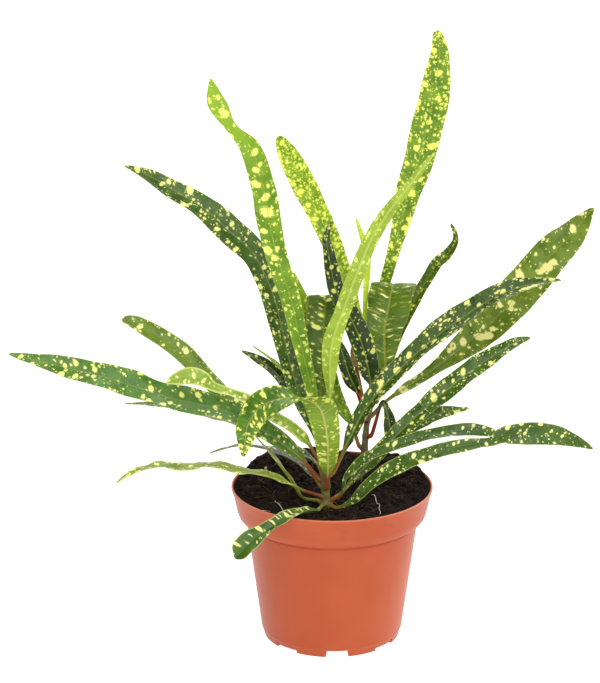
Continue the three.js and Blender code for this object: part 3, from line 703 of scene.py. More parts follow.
class Look(Enum):
    """The kinds of leaf on the plant."""

    DEEP = LeafFinish(
        "deep_green_speckled", "deep_leaf", blade=(44, 78, 8), flush=(74, 106, 26),
        mark=(242, 240, 140), underside=(120, 138, 70), specks=0.5,
    )
    MEADOW = LeafFinish(
        "meadow_green_spotted", "bright_leaf", blade=(60, 106, 20), flush=(90, 134, 44),
        mark=(242, 242, 130), underside=(136, 158, 90), dots=0.6, rib=(150, 170, 70),
    )
    VIVID = LeafFinish(
        "green_cream_spotted", "bright_leaf", blade=(46, 80, 8), flush=(74, 106, 24),
        mark=(244, 242, 150), underside=(136, 152, 78), stretch=1.2, dots=0.34, blots=0.04,
        specks=0.5, rib=(104, 130, 50), rib_show=0.3, rim=(176, 190, 100), rim_width=0.4,
    )
    EDGED = LeafFinish(
        "green_cream_striped", "bright_leaf", blade=(50, 88, 10), flush=(78, 114, 26),
        mark=(244, 242, 150), underside=(136, 152, 78), dots=0.5, stretch=3.0,
        rib=(104, 130, 50), rib_show=0.3, rim=(206, 216, 140), rim_width=0.5,
    )
    SHADED = LeafFinish(
        "dark_green_shaded", "deep_leaf", blade=(22, 42, 5), flush=(38, 64, 11),
        mark=(212, 216, 100), underside=(112, 114, 70), dots=0.4, blots=0.14,
    )
    GREY = LeafFinish(
        "dark_green_light_rib", "deep_leaf", blade=(38, 70, 6), flush=(64, 94, 22),
        mark=(242, 238, 140), underside=(118, 134, 80), rib=(118, 142, 52), rib_width=0.7,
        rib_show=0.7, rim_bias=0.3, stretch=0.6, dot_cell=3.4,
    )
    BRIGHT = LeafFinish(
        "mid_green_yellow_dotted", "bright_leaf", blade=(80, 124, 6), flush=(120, 158, 24),
        mark=(238, 240, 116), underside=(150, 178, 54), rib=(146, 174, 44), tip=(142, 182, 24),
        dots=0.55, blots=0.26, glow=0.4,
    )
    BLOTCHED = LeafFinish(
        "mid_green_cream_blotched", "bright_leaf", blade=(82, 110, 10), flush=(116, 140, 34),
        mark=(244, 236, 150), underside=(156, 166, 88), dots=0.4, blots=0.1, rib=(140, 150, 60),
    )
    SPARSE = LeafFinish(
        "mid_green_few_spots", "bright_leaf", blade=(84, 114, 14), flush=(112, 138, 34),
        mark=(244, 240, 150), underside=(164, 176, 104), dots=0.14, blots=0.04, specks=0.15,
        rib=(140, 156, 60), rib_show=0.3, rim=(190, 200, 130), rim_width=0.5,
    )
    DASHED = LeafFinish(
        "olive_green_cream_dashed", "bright_leaf", blade=(66, 96, 4), flush=(90, 120, 12),
        mark=(250, 246, 142), underside=(140, 152, 60), dots=0.55, stretch=4.4, dot_cell=1.5,
        blot_cell=2.6, blots=0.22, specks=0.3, rib=(150, 152, 60), rib_width=0.9, rib_show=0.6,
        rim_bias=0.0, mark_size=0.9, shine=0.22,
    )
    DARK_DASHED = LeafFinish(
        "deep_green_cream_dashed", "deep_leaf", blade=(50, 78, 4), flush=(78, 106, 12),
        mark=(232, 232, 112), underside=(112, 126, 56), dots=0.6, stretch=2.1, dot_cell=2.2,
        blot_cell=4.0, blots=0.25, rib=(110, 122, 40), rib_width=0.8, rib_show=0.6, shine=0.22,
    )
    GOLD = LeafFinish(
        "green_thick_gold_speckle", "gold_leaf", blade=(96, 138, 8), flush=(142, 178, 24),
        mark=(238, 242, 96), underside=(176, 196, 60), dots=1.0, dot_cell=2.4, blots=0.5,
        blot_cell=4.8, specks=0.7, mark_size=1.2, rib=(176, 200, 50), under_marks=0.6, rim_bias=0.3,
        glow=0.5, rib_show=0.3,
    )
    SPANGLED = LeafFinish(
        "green_gold_spangled", "gold_leaf", blade=(78, 120, 8), flush=(120, 154, 30),
        mark=(240, 244, 104), underside=(164, 184, 60), dots=0.8, blots=0.24, specks=0.5,
        dot_cell=2.6, mark_size=1.05, rib=(134, 166, 54), rib_width=0.7, under_marks=0.5, rim_bias=0.4,
        glow=0.4,
    )
    NEW = LeafFinish(
        "fresh_yellow_green", "gold_leaf", blade=(172, 206, 26), flush=(198, 224, 50),
        mark=(230, 238, 100), underside=(198, 218, 60), dots=0.25, blots=0.1, rib=(206, 222, 90),
    )
    PALE = LeafFinish(
        "pale_green_underside", "pale_leaf", blade=(110, 146, 22), flush=(138, 168, 44),
        mark=(232, 240, 136), underside=(158, 184, 46), dots=0.6, blots=0.35, rib=(184, 204, 90),
        rim=(222, 228, 158), rim_width=0.6, under_marks=0.6, rib_show=0.4,
    )
    LIME = LeafFinish(
        "lime_green_folded", "pale_leaf", blade=(58, 100, 12), flush=(88, 132, 24),
        mark=(244, 242, 118), underside=(120, 152, 24), dots=0.85, blots=0.3, dot_cell=2.4,
        blot_cell=4.8, rib=(196, 186, 112), rib_width=0.4, under_marks=0.6, under_veins=0.3,
        rim_bias=0.35, stretch=1.9, glow=0.4, rib_show=0.5,
    )
    STRIPED = LeafFinish(
        "pale_green_striped", "pale_leaf", blade=(116, 152, 24), flush=(156, 182, 58),
        mark=(240, 240, 150), underside=(176, 194, 84), dots=0.6, blots=0.35, stretch=2.2,
        rib=(180, 196, 90), rim=(218, 224, 140), rim_width=1.0,
    )
    OLIVE = LeafFinish(
        "olive_green_yellow_edged", "bright_leaf", blade=(98, 122, 12), flush=(130, 150, 34),
        mark=(236, 234, 116), underside=(150, 160, 54), dots=0.3, blots=0.14,
        rim=(220, 218, 96), rim_width=0.6, rim_bias=0.4,
    )
    TAN = LeafFinish(
        "tan_underside", "pale_leaf", blade=(96, 112, 20), flush=(124, 132, 40),
        mark=(206, 204, 110), underside=(196, 144, 92), dots=0.3, blots=0.1, rib=(176, 142, 74),
    )


@dataclass(frozen=True)
class PlainFinish:
    """A finish of two mingled colours with a fine grain. Sizes are in metres."""

    name: str
    dark: Rgb
    light: Rgb
    patch: float  # size of the patches of the two colours
    grain: float  # size of the grain
    relief: float  # depth of the grain
    rough: tuple[float, float]
    stretch: float = 1.0  # how much longer patches and grain are upright
    shine: float = 0.5  # the shader's specular level
    glow: float = 0.0  # strength of its own white light

    def start(self) -> tuple[Painter, Socket]:
        """Begins the finish and gives its painter and its coordinates."""
        paint = Painter(self.name)
        return paint, paint.scaled(paint.objects(), 1, 1, 1 / self.stretch)

    def dress(self, paint: Painter, place: Socket) -> Socket:
        """Writes the colour, roughness and relief.

        Args:
            paint: the finish being written.
            place: its coordinates.

        Returns:
            The colour.
        """
        patches = paint.step(paint.noise(place, 1 / self.patch, 4.0), 0.3, 0.7)
        grain = paint.noise(place, 1 / self.grain, 3.0)
        colour = paint.mix(patches, linear(self.dark), linear(self.light))
        paint.set("Base Color", colour)
        paint.set("Roughness", paint.span(grain, *self.rough))
        paint.set("Specular IOR Level", self.shine)
        if self.glow:
            paint.set("Emission Color", (1.0, 1.0, 1.0, 1.0))
            paint.set("Emission Strength", self.glow)
        paint.bump(grain, self.relief)
        return colour

    def material(self) -> Material:
        """The whole finish with nothing added."""
        paint, place = self.start()
        self.dress(paint, place)
        return paint.material


@dataclass(frozen=True)
class PotFinish(PlainFinish):
    """Moulded plastic with a painted highlight along the lip, smudged near it, and painted shade on the
    inner wall below the lip.
    """

    # colour of the painted highlight along the lip
    lip_highlight: Rgb = (228, 140, 108)
    # dark colour of the smudges, also used for the painted shade on the inner wall
    dirt_and_shade: Rgb = (96, 46, 32)
    lip_height: float = 0.0938
    lip_radius: float = 0.05935  # of the middle of the wall at the lip
    lip_slope: float = 0.245  # how much the wall draws in below it
    smudge_below_lip: float = 0.02  # how far down smudges reach
    smudge_above_foot: float = 0.012
    smudge_strength: float = 0.35
    inner_shade_fade: tuple[float, float] = (0.012, 0.01)  # where the painted shade inside ends, below the lip
    # strength of the painted shade on the inner wall
    inner_shade_strength: float = 0.8
    lip_highlight_strength: float = 0.55  # strength of the painted highlight along the lip

    def material(self) -> Material:
        """The plastic with its painted lip highlight, its smudges and the painted shade inside."""
        paint, place = self.start()
        colour = self.dress(paint, place)
        height = paint.part(paint.objects(), 2)
        smudge = paint.step(paint.noise(place, 130.0, 5.0), 0.6, 0.78)
        near_lip = paint.step(height, self.lip_height - self.smudge_below_lip, self.lip_height)
        near_foot = paint.step(height, self.smudge_above_foot, 0.0)
        dirt = paint.times(smudge, paint.plus(near_lip, near_foot))
        colour = paint.over(colour, dirt, self.smudge_strength, self.dirt_and_shade)
        # painted shade: the inner wall is darkened from just below the lip downwards
        below_lip = paint.minus(self.lip_height, height)
        middle = paint.minus(self.lip_radius, paint.times(below_lip, self.lip_slope))
        depth = paint.minus(middle, paint.radius(paint.objects()))
        inside = paint.times(paint.step(depth, 0.0, 0.0004), paint.step(below_lip, 0.0003, 0.0008))
        inside = paint.times(inside, paint.step(below_lip, *self.inner_shade_fade))
        colour = paint.over(colour, inside, self.inner_shade_strength, self.dirt_and_shade)
        # painted highlight: a light band along the top of the lip
        lip = paint.step(height, self.lip_height - 0.0011, self.lip_height - 0.0002)
        paint.set("Base Color", paint.over(colour, lip, self.lip_highlight_strength, self.lip_highlight))
        return paint.material


@dataclass(frozen=True)
class BarkFinish(PlainFinish):
    """Young bark with paler corky specks and leaf scars."""

    speck: Rgb = (150, 140, 92)
    scar: Rgb = (96, 74, 46)
    specks_a_metre: float = 620.0
    speck_strength: float = 0.6

    def material(self) -> Material:
        """The bark with its specks and scars."""
        paint, place = self.start()
        colour = self.dress(paint, place)
        distance, own = paint.cells(place, self.specks_a_metre)
        speck = paint.times(paint.step(distance, 0.35, 0.15), paint.step(own, 0.55, 0.7))
        colour = paint.over(colour, speck, self.speck_strength, self.speck)
        colour = paint.mix(paint.value("scar"), colour, linear(self.scar))
        paint.set("Base Color", colour)
        return paint.material


TERRACOTTA = PotFinish(
    "terracotta_plastic", dark=(174, 73, 31), light=(181, 80, 39), patch=0.05, grain=0.0009,
    relief=0.00002, rough=(0.36, 0.46), shine=0.3,
)
PEAT = PlainFinish(
    "peat", dark=(8, 5, 4), light=(31, 21, 16), patch=0.006, grain=0.0008, relief=0.0006,
    rough=(0.85, 1.0), shine=0.15,
)
CRUMB = PlainFinish(
    "peat_crumbs", dark=(11, 8, 6), light=(46, 31, 22), patch=0.004, grain=0.0006, relief=0.0003,
    rough=(0.8, 1.0), shine=0.15,
)
FIBRE = PlainFinish(
    "peat_fibre", dark=(36, 25, 16), light=(112, 86, 54), patch=0.009, grain=0.0005, relief=0.0001,
    rough=(0.7, 0.9), shine=0.25,
)
ROOTLET = PlainFinish(
    "pale_root", dark=(190, 182, 164), light=(232, 228, 216), patch=0.003, grain=0.0004,
    relief=0.00005, rough=(0.5, 0.7),
)
OLIVE_BARK = BarkFinish(
    "olive_bark", dark=(84, 92, 36), light=(132, 142, 62), patch=0.004, grain=0.0005, relief=0.0001,
    rough=(0.45, 0.65), stretch=3.0,
)
BROWN_BARK = BarkFinish(
    "brown_bark", dark=(84, 72, 42), light=(124, 110, 64), patch=0.004, grain=0.0005, relief=0.00015,
    rough=(0.55, 0.75), stretch=3.0,
)


# ---- pot


Outline = list[tuple[float, float]]


def rounded(outline: Outline, radius: float, segments: int = 3) -> Outline:
    """Rounds the corners of an outline that starts and ends on the axis.

    Args:
        outline: radius and height of each corner.
        radius: how far from a corner its rounding starts, at most.
        segments: steps in each rounding.

    Returns:
        The outline with each inner corner replaced by a short curve.
    """
    points = [np.array(point, float) for point in outline]
    result = [tuple(points[0])]
    most = 0.42  # of a side may be taken up by a rounding
    for before, corner, after in zip(points, points[1:], points[2:]):
        back, ahead = before - corner, after - corner
        reach = min(radius, most * np.linalg.norm(back), most * np.linalg.norm(ahead))
        start = corner + back / np.linalg.norm(back) * reach
        end = corner + ahead / np.linalg.norm(ahead) * reach
        for step in range(segments + 1):
            t = step / segments
            bend = (1 - t) ** 2 * start + 2 * t * (1 - t) * corner + t * t * end
            result.append((float(bend[0]), float(bend[1])))
    result.append(tuple(points[-1]))
    return result


@dataclass
class Pot:
    """The nursery pot: collar, tapered wall, notched foot ring and drained floor. Millimetres."""

    height: float = 93.8
    rim_radius: float = 60.0
    crease_height: float = 73.2
    crease_radius: float = 51.0
    heel_height: float = 5.2
    heel_radius: float = 42.2
    foot_radius: float = 40.6
    foot_width: float = 2.0
    wall: float = 1.3
    floor_underside: float = 4.9  # of the outer part of the floor, above the notches
    floor_top: float = 6.4
    sunk: float = 2.5  # how far the middle of the floor lies below its outer part
    sunk_radius: float = 19.0
    segments: int = 192
    corner: float = 0.5
    notch_facing: float = -86.0
    repeats: int = 2
    notch_width: float = 13.0
    notch_height: float = 4.5
    notch_flare: float = 0.06  # how much wider a notch is at the ground, as a share
    lifted_middle: float = 45.0  # degrees from a notch to the middle of a lifted stretch
    lifted_half_angle: float = 10.0
    lifted_height: float = 2.1
    nick_angle: float = 56.0  # degrees from a notch to the nick that ends a lifted stretch
    nick_width: float = 2.0
    nick_height: float = 3.2
    floor_drain_radius: float = 3.5
    floor_drain_circle: float = 26.0
    sharp_angle: float = 32.0  # edges sharper than this stay crisp
    # the step from the crease to the collar: how far out of it and above it
    step: tuple[tuple[float, float], ...] = (
        (-0.05, -1.3), (-0.35, -0.4), (-0.15, 0.2), (2.4, 1.1), (4.5, 3.0), (5.6, 6.1),
    )
    # the collar: how far in from the rim and below the lip
    collar: tuple[tuple[float, float], ...] = ((2.4, 9.8), (1.6, 5.8), (0.4, 1.5), (0.0, 0.6))
    finish: PotFinish = TERRACOTTA

    def wall_outline(self) -> Outline:
        """The outside of the wall from the heel up to the lip."""
        return [
            (self.heel_radius, self.heel_height),
            *((self.crease_radius + out, self.crease_height + up) for out, up in self.step),
            *((self.rim_radius - inwards, self.height - below) for inwards, below in self.collar),
        ]

    def inner_outline(self, wall: float) -> Outline:
        """The inside of the wall from the heel to just below the lip, `wall` thick."""
        return [(radius - wall, height) for radius, height in self.wall_outline()[:-1]]

    def shell(self) -> Piece:
        """The turned shell before it is cut."""
        inside = self.inner_outline(self.wall)
        inside[0] = (self.heel_radius - self.wall, self.floor_top + 1.2)
        outline = [
            (0.0, self.floor_underside - self.sunk),
            (self.sunk_radius + 0.6, self.floor_underside - self.sunk),
            (self.sunk_radius + 2.1, self.floor_underside),
            (self.foot_radius - self.foot_width - 0.5, self.floor_underside),
            (self.foot_radius - self.foot_width, 0.0),
            (self.foot_radius, 0.0),
            (self.foot_radius + 0.7, self.heel_height - 1.6),
            *self.wall_outline(),
            (self.rim_radius - 0.4, self.height),
            (self.rim_radius - self.wall + 0.2, self.height),
            *reversed(inside),
            (self.heel_radius - self.wall - 1.4, self.floor_top),
            (self.sunk_radius + 1.5, self.floor_top),
            (self.sunk_radius, self.floor_top - self.sunk),
            (0.0, self.floor_top - self.sunk),
        ]
        line = rounded(outline, self.corner)
        turned = line[1:-1]
        around = circle(self.segments)
        rings = [np.column_stack([around * r, np.full(self.segments, z)]) for r, z in turned]
        points = np.vstack([*rings, [[0, 0, line[0][1]], [0, 0, line[-1][1]]]])
        faces = tube_faces(len(turned), self.segments)[:-2]
        below, above = len(points) - 2, len(points) - 1
        last = (len(turned) - 1) * self.segments
        for k in range(self.segments):
            after = (k + 1) % self.segments
            faces.append((below, after, k))
            faces.append((above, last + k, last + after))
        return new_piece("pot_shell", points, faces)

    def box_cutter(self, degrees: float, width: float, high: float) -> Piece:
        """A box that reaches through the foot ring, a little wider at the ground.

        Args:
            degrees: which way from the pot's axis it stands.
            width: its width.
            high: its top.

        Returns:
            The box.
        """
        reach, bottom = 8.0, -1.0
        near, far = self.foot_radius - reach / 2, self.foot_radius + reach / 2
        turn = math.radians(degrees)
        out = np.array([math.cos(turn), math.sin(turn)])
        aside = np.array([-math.sin(turn), math.cos(turn)])
        points = []
        for z, wider in ((bottom, 1 + self.notch_flare), (high, 1 - self.notch_flare)):
            half = width / 2 * wider
            for reach_out, way in ((near, -1), (far, -1), (far, 1), (near, 1)):
                points.append((*(out * reach_out + aside * way * half), z))
        return new_piece("cutter", np.array(points), tube_faces(2, 4), smooth=False)

    def curved_cutter(self, degrees: float) -> Piece:
        """A curved block below the foot ring, which lifts a stretch of it.

        Args:
            degrees: which way from the pot's axis its middle stands.

        Returns:
            The block.
        """
        steps = 24
        half = self.lifted_half_angle
        sweep = np.radians(np.linspace(degrees - half, degrees + half, steps))
        inner, outer = self.foot_radius - self.foot_width - 1.5, self.foot_radius + 4
        low, high = -2.0, self.lifted_height
        rings = []
        for angle in sweep:
            way = np.array([math.cos(angle), math.sin(angle)])
            for radius, z in ((inner, low), (inner, high), (outer, high), (outer, low)):
                rings.append((*(way * radius), z))
        return new_piece("cutter", np.array(rings), tube_faces(steps, 4), smooth=False)

    def drain_cutter(self, degrees: float) -> Piece:
        """A round bar for a hole through the floor.

        Args:
            degrees: which way from the pot's axis it stands.

        Returns:
            The bar.
        """
        sides, above_floor = 40, 4
        turn = math.radians(degrees)
        centre = np.array([math.cos(turn), math.sin(turn)]) * self.floor_drain_circle
        edge = centre + self.floor_drain_radius * circle(sides)
        levels = (0.0, self.floor_top + above_floor)
        rings = [np.column_stack([edge, np.full(sides, z)]) for z in levels]
        return new_piece("cutter", np.vstack(rings), tube_faces(2, sides), smooth=False)

    def build(self) -> Piece:
        """Turns the shell, cuts its foot ring and floor, and dresses it.

        Returns:
            The finished pot.
        """
        shell = self.shell()
        period = 360 / self.repeats
        cutters = []
        for i in range(self.repeats):
            notch = self.notch_facing + i * period
            cutters.append(self.box_cutter(notch, self.notch_width, self.notch_height))
            for side in (-1, 1):
                nick = notch + side * self.nick_angle
                cutters.append(self.curved_cutter(notch + side * self.lifted_middle))
                cutters.append(self.box_cutter(nick, self.nick_width, self.nick_height))
            cutters.append(self.drain_cutter(notch))
            cutters.append(self.drain_cutter(notch + period / 2))
        for cutter in cutters:
            cut = shell.modifiers.new("cut", "BOOLEAN")
            cut.operation = "DIFFERENCE"
            cut.solver = "EXACT"
            cut.object = cutter
        bake_modifiers(shell)
        for cutter in cutters:
            bpy.data.objects.remove(cutter)
        shade_by_angle(shell, self.sharp_angle)
        shell.data.materials.append(self.finish.material())
        keep_piece(shell, "terracotta_plastic", "pot")
        return shell


# ---- stems


@dataclass
class StemShape:
    """One stem: its line from inside the soil to its growing tip, and its radius. Millimetres."""

    name: str
    node: str
    slot: str
    line: tuple[Point, ...]
    radius: float
    tip_radius: float
    finish: BarkFinish
    sides: int = 28
    step: float = 0.7
    swelling: float = 0.16  # how far the bark swells below a leaf, as a share of the radius
    collar: float = 1.5  # how far along the stem a swelling reaches
    bud_length: float = 2.4  # as a share of the tip's radius
    scar_strength: float = 0.7
    unevenness: float = 0.05  # of the bark, as a share of the radius
    path: Path = field(init=False)
    feet: list[float] = field(init=False, default_factory=list)

    def __post_init__(self) -> None:
        """Fits the curve to the stem's line."""
        self.path = Path(self.line)

    def radius_at(self, distance: Array | float) -> Array | float:
        """The plain radius at a distance along the stem."""
        share = distance / self.path.length
        return self.radius + (self.tip_radius - self.radius) * share ** 2

    def at_height(self, height: float) -> tuple[Array, float]:
        """The centre and radius of the stem at a height."""
        distance = self.path.distance_at_height(height)
        return self.path.at(distance), float(self.radius_at(distance))

    def build(self) -> Piece:
        """Builds the stem with a swollen collar at each leaf and a pointed bud.

        Returns:
            The finished stem.
        """
        distances = np.append(np.arange(0, self.path.length, self.step), self.path.length)
        radii = np.asarray(self.radius_at(distances), float)
        scar = np.zeros_like(radii)
        for foot in self.feet:
            near = np.exp(-((distances - self.path.distance_at_height(foot)) / self.collar) ** 2)
            radii *= 1 + self.swelling * near
            scar = np.maximum(scar, near)
        rings = round_tube(self.path, radii, distances, self.sides)
        bud_steps = (0.25, 0.5, 0.72, 0.88, 0.97)
        tip, way = self.path.at(self.path.length), self.path.direction(self.path.length)
        bud = [
            tip + way * self.tip_radius * self.bud_length * share
            + (rings[-1] - tip) * (1 - share ** 2) ** 0.5
            for share in bud_steps
        ]
        rings = np.concatenate([rings, np.array(bud)])
        rings += self._lumps(rings)
        piece = new_piece(self.name, rings.reshape(-1, 3), tube_faces(len(rings), self.sides))
        scars = np.concatenate([scar, np.zeros(len(bud))])
        add_values(piece, "scar", np.repeat(np.clip(scars * self.scar_strength, 0, 1), self.sides))
        piece.data.materials.append(self.finish.material())
        keep_piece(piece, self.slot, self.node)
        return piece

    def _lumps(self, rings: Array) -> Array:
        """Small unevenness of the bark.

        Args:
            rings: the stem's points, ring by ring.

        Returns:
            How far each of them moves.
        """
        shifts = np.zeros_like(rings)
        centres = rings.mean(axis=1, keepdims=True)
        for r, points in enumerate(rings):
            for k, point in enumerate(points):
                out = point - centres[r, 0]
                lump = fractal((point[0] * 2, point[1] * 2, point[2]), 3.0)
                shifts[r, k] = out * self.unevenness * lump
        return shifts


class Stem(Enum):
    """The plant's two stems."""

    FRONT = "front"
    BACK = "back"


def both_stems() -> dict[Stem, StemShape]:
    """The two stems as they stand in the pot."""
    return {
        Stem.FRONT: StemShape(
            "stem_front", "front_stem", "olive_bark",
            line=(
                (-4, -22, 62), (-4, -22, 90), (-4, -22, 101), (-5, -21, 118), (-6, -19, 136),
                (-7, -17, 150),
            ),
            radius=2.4, tip_radius=1.5, finish=OLIVE_BARK,
        ),
        Stem.BACK: StemShape(
            "stem_back", "back_stem", "brown_bark",
            line=(
                (16, 12, 62), (16, 12, 90), (19, 12, 108), (21, 13, 129), (24, 14, 142),
                (29, 20, 160),
            ),
            radius=2.2, tip_radius=1.2, finish=BROWN_BARK,
        ),
    }


# ---- soil


@dataclass(frozen=True)
class Hump:
    """A smooth rise, or a hollow of negative height, in the soil. Millimetres."""

    x: float
    y: float
    reach: float
    height: float

    def at(self, x: Array, y: Array) -> Array:
        """How much it adds at x, y."""
        near = np.maximum(0, 1 - ((x - self.x) ** 2 + (y - self.y) ** 2) / self.reach ** 2)
        return self.height * near * near


@dataclass
class ScatterTree:
    """A Geometry Nodes tree that strews small shapes over a surface and gives only them back."""

    name: str
    density: float  # shapes a square metre
    smallest: float  # metres
    largest: float
    seed: int
    material: Material
    tilt: float = math.pi  # how far a shape may lean from level, in radians
    ragged: float = 0.25  # unevenness as a share of the largest size
    sink: float = 0.0  # how far shapes are pressed in, metres
    fibre: bool = False  # a bent thread instead of a crumb
    sides: int = 7  # of a crumb seen from above

    tree: Tree = field(init=False)

    MOSTLY_SMALL = 2.2  # the higher, the fewer large shapes
    LUMPINESS = 0.6  # lumps across the largest shape
    THREAD_BEND = (("Start", (-0.5, 0, 0)), ("Middle", (0, 0.32, 0.16)), ("End", (0.5, 0, 0.02)))
    THREAD_RADIUS = 0.013  # of a thread of length 1
    THREAD_SIDES = 5
    THREAD_STEPS = 7

    def build(self) -> tuple[Tree, dict[str, float | int]]:
        """Builds the tree.

        Returns:
            The tree, and the value for each of its inputs by the input's identifier.
        """
        tree = self.tree = bpy.data.node_groups.new(self.name, "GeometryNodeTree")
        ends = tree.interface
        ends.new_socket("Surface", in_out="INPUT", socket_type="NodeSocketGeometry")
        ends.new_socket("Shapes", in_out="OUTPUT", socket_type="NodeSocketGeometry")
        values = {}
        for name, kind, value in (
            ("Density", "NodeSocketFloat", self.density),
            ("Smallest", "NodeSocketFloat", self.smallest),
            ("Largest", "NodeSocketFloat", self.largest),
            ("Seed", "NodeSocketInt", self.seed),
        ):
            socket = ends.new_socket(name, in_out="INPUT", socket_type=kind)
            values[socket.identifier] = value
        given = tree.nodes.new("NodeGroupInput").outputs
        points = self._add("GeometryNodeDistributePointsOnFaces", {
            "Mesh": given["Surface"], "Density": given["Density"], "Seed": given["Seed"],
        })
        lean = self.tilt
        turn = self._random("FLOAT_VECTOR", (-lean, -lean, 0), (lean, lean, 2 * math.pi))
        share = self._add("ShaderNodeMath", {
            0: self._random("FLOAT", 0.0, 1.0), 1: self.MOSTLY_SMALL,
        }, operation="POWER")
        size = self._add("ShaderNodeMapRange", {
            0: share, 3: given["Smallest"], 4: given["Largest"],
        })
        placed = self._add("GeometryNodeInstanceOnPoints", {
            "Points": points, "Instance": self._shape(), "Rotation": turn, "Scale": size,
        })
        real = self._add("GeometryNodeRealizeInstances", {0: placed})
        dressed = self._add("GeometryNodeSetMaterial", {
            "Geometry": self._roughened(real), "Material": self.material,
        })
        smooth = self._add("GeometryNodeSetShadeSmooth", {0: dressed})
        tree.links.new(smooth, tree.nodes.new("NodeGroupOutput").inputs[0])
        return tree, values

    def _add(self, kind: str, inputs: dict[str | int, object], **settings: str) -> Socket:
        """Adds a node.

        Args:
            kind: the node's type.
            inputs: a socket to join or a plain value for each input, by its name or number.
            settings: the node's options by name.

        Returns:
            The first output that is in use.
        """
        made = self.tree.nodes.new(kind)
        for name, value in settings.items():
            setattr(made, name, value)
        for key, value in inputs.items():
            if isinstance(value, Socket):
                self.tree.links.new(value, made.inputs[key])
            else:
                made.inputs[key].default_value = value
        return next(output for output in made.outputs if output.enabled)

    def _random(self, kind: str, low: float | Point, high: float | Point) -> Socket:
        """A random value for each shape.

        Args:
            kind: FLOAT_VECTOR or FLOAT.
            low: the lowest value.
            high: the highest value.

        Returns:
            The value.
        """
        first = 0 if kind == "FLOAT_VECTOR" else 2
        inputs = {first: low, first + 1: high, "Seed": self.seed + first}
        return self._add("FunctionNodeRandomValue", inputs, data_type=kind)

    def _shape(self) -> Socket:
        """One shape of unit size: a round crumb or a bent thread."""
        if not self.fibre:
            return self._add("GeometryNodeMeshUVSphere", {
                "Segments": self.sides, "Rings": self.sides // 2 + 1, "Radius": 0.5,
            })
        bend = self._add("GeometryNodeCurveQuadraticBezier", {
            "Resolution": self.THREAD_STEPS, **dict(self.THREAD_BEND),
        })
        ring = self._add("GeometryNodeCurvePrimitiveCircle", {
            "Resolution": self.THREAD_SIDES, "Radius": self.THREAD_RADIUS,
        })
        return self._add("GeometryNodeCurveToMesh", {
            "Curve": bend, "Profile Curve": ring, "Fill Caps": True,
        })

    def _roughened(self, shapes: Socket) -> Socket:
        """The shapes made uneven and pressed in to the surface.

        Args:
            shapes: the strewn shapes.

        Returns:
            The shapes, moved.
        """
        texture = self.tree.nodes.new("ShaderNodeTexNoise")
        texture.inputs["Scale"].default_value = self.LUMPINESS / self.largest
        texture.inputs["Detail"].default_value = 2.0
        centred = self._add("ShaderNodeVectorMath", {
            0: texture.outputs[1], 1: (0.5, 0.5, 0.5),
        }, operation="SUBTRACT")
        grown = self._add("ShaderNodeVectorMath", {
            0: centred, "Scale": 2 * self.ragged * self.largest,
        }, operation="SCALE")
        lowered = self._add("ShaderNodeVectorMath", {
            0: grown, 1: (0, 0, self.sink),
        }, operation="SUBTRACT")
        return self._add("GeometryNodeSetPosition", {"Geometry": shapes, "Offset": lowered})

    def strew(self, surface: Piece, slot: str) -> Piece:
        """Strews the shapes over a copy of a surface and keeps them as a plain piece.

        Args:
            surface: where the shapes lie.
            slot: the record's material slot.

        Returns:
            The finished piece.
        """
        host = bpy.data.objects.new(self.name, surface.data.copy())
        bpy.context.scene.collection.objects.link(host)
        tree, values = self.build()
        modifier = host.modifiers.new("strewn", "NODES")
        modifier.node_group = tree
        for identifier, value in values.items():
            modifier[identifier] = value
        bake_modifiers(host)
        keep_piece(host, slot)
        return host


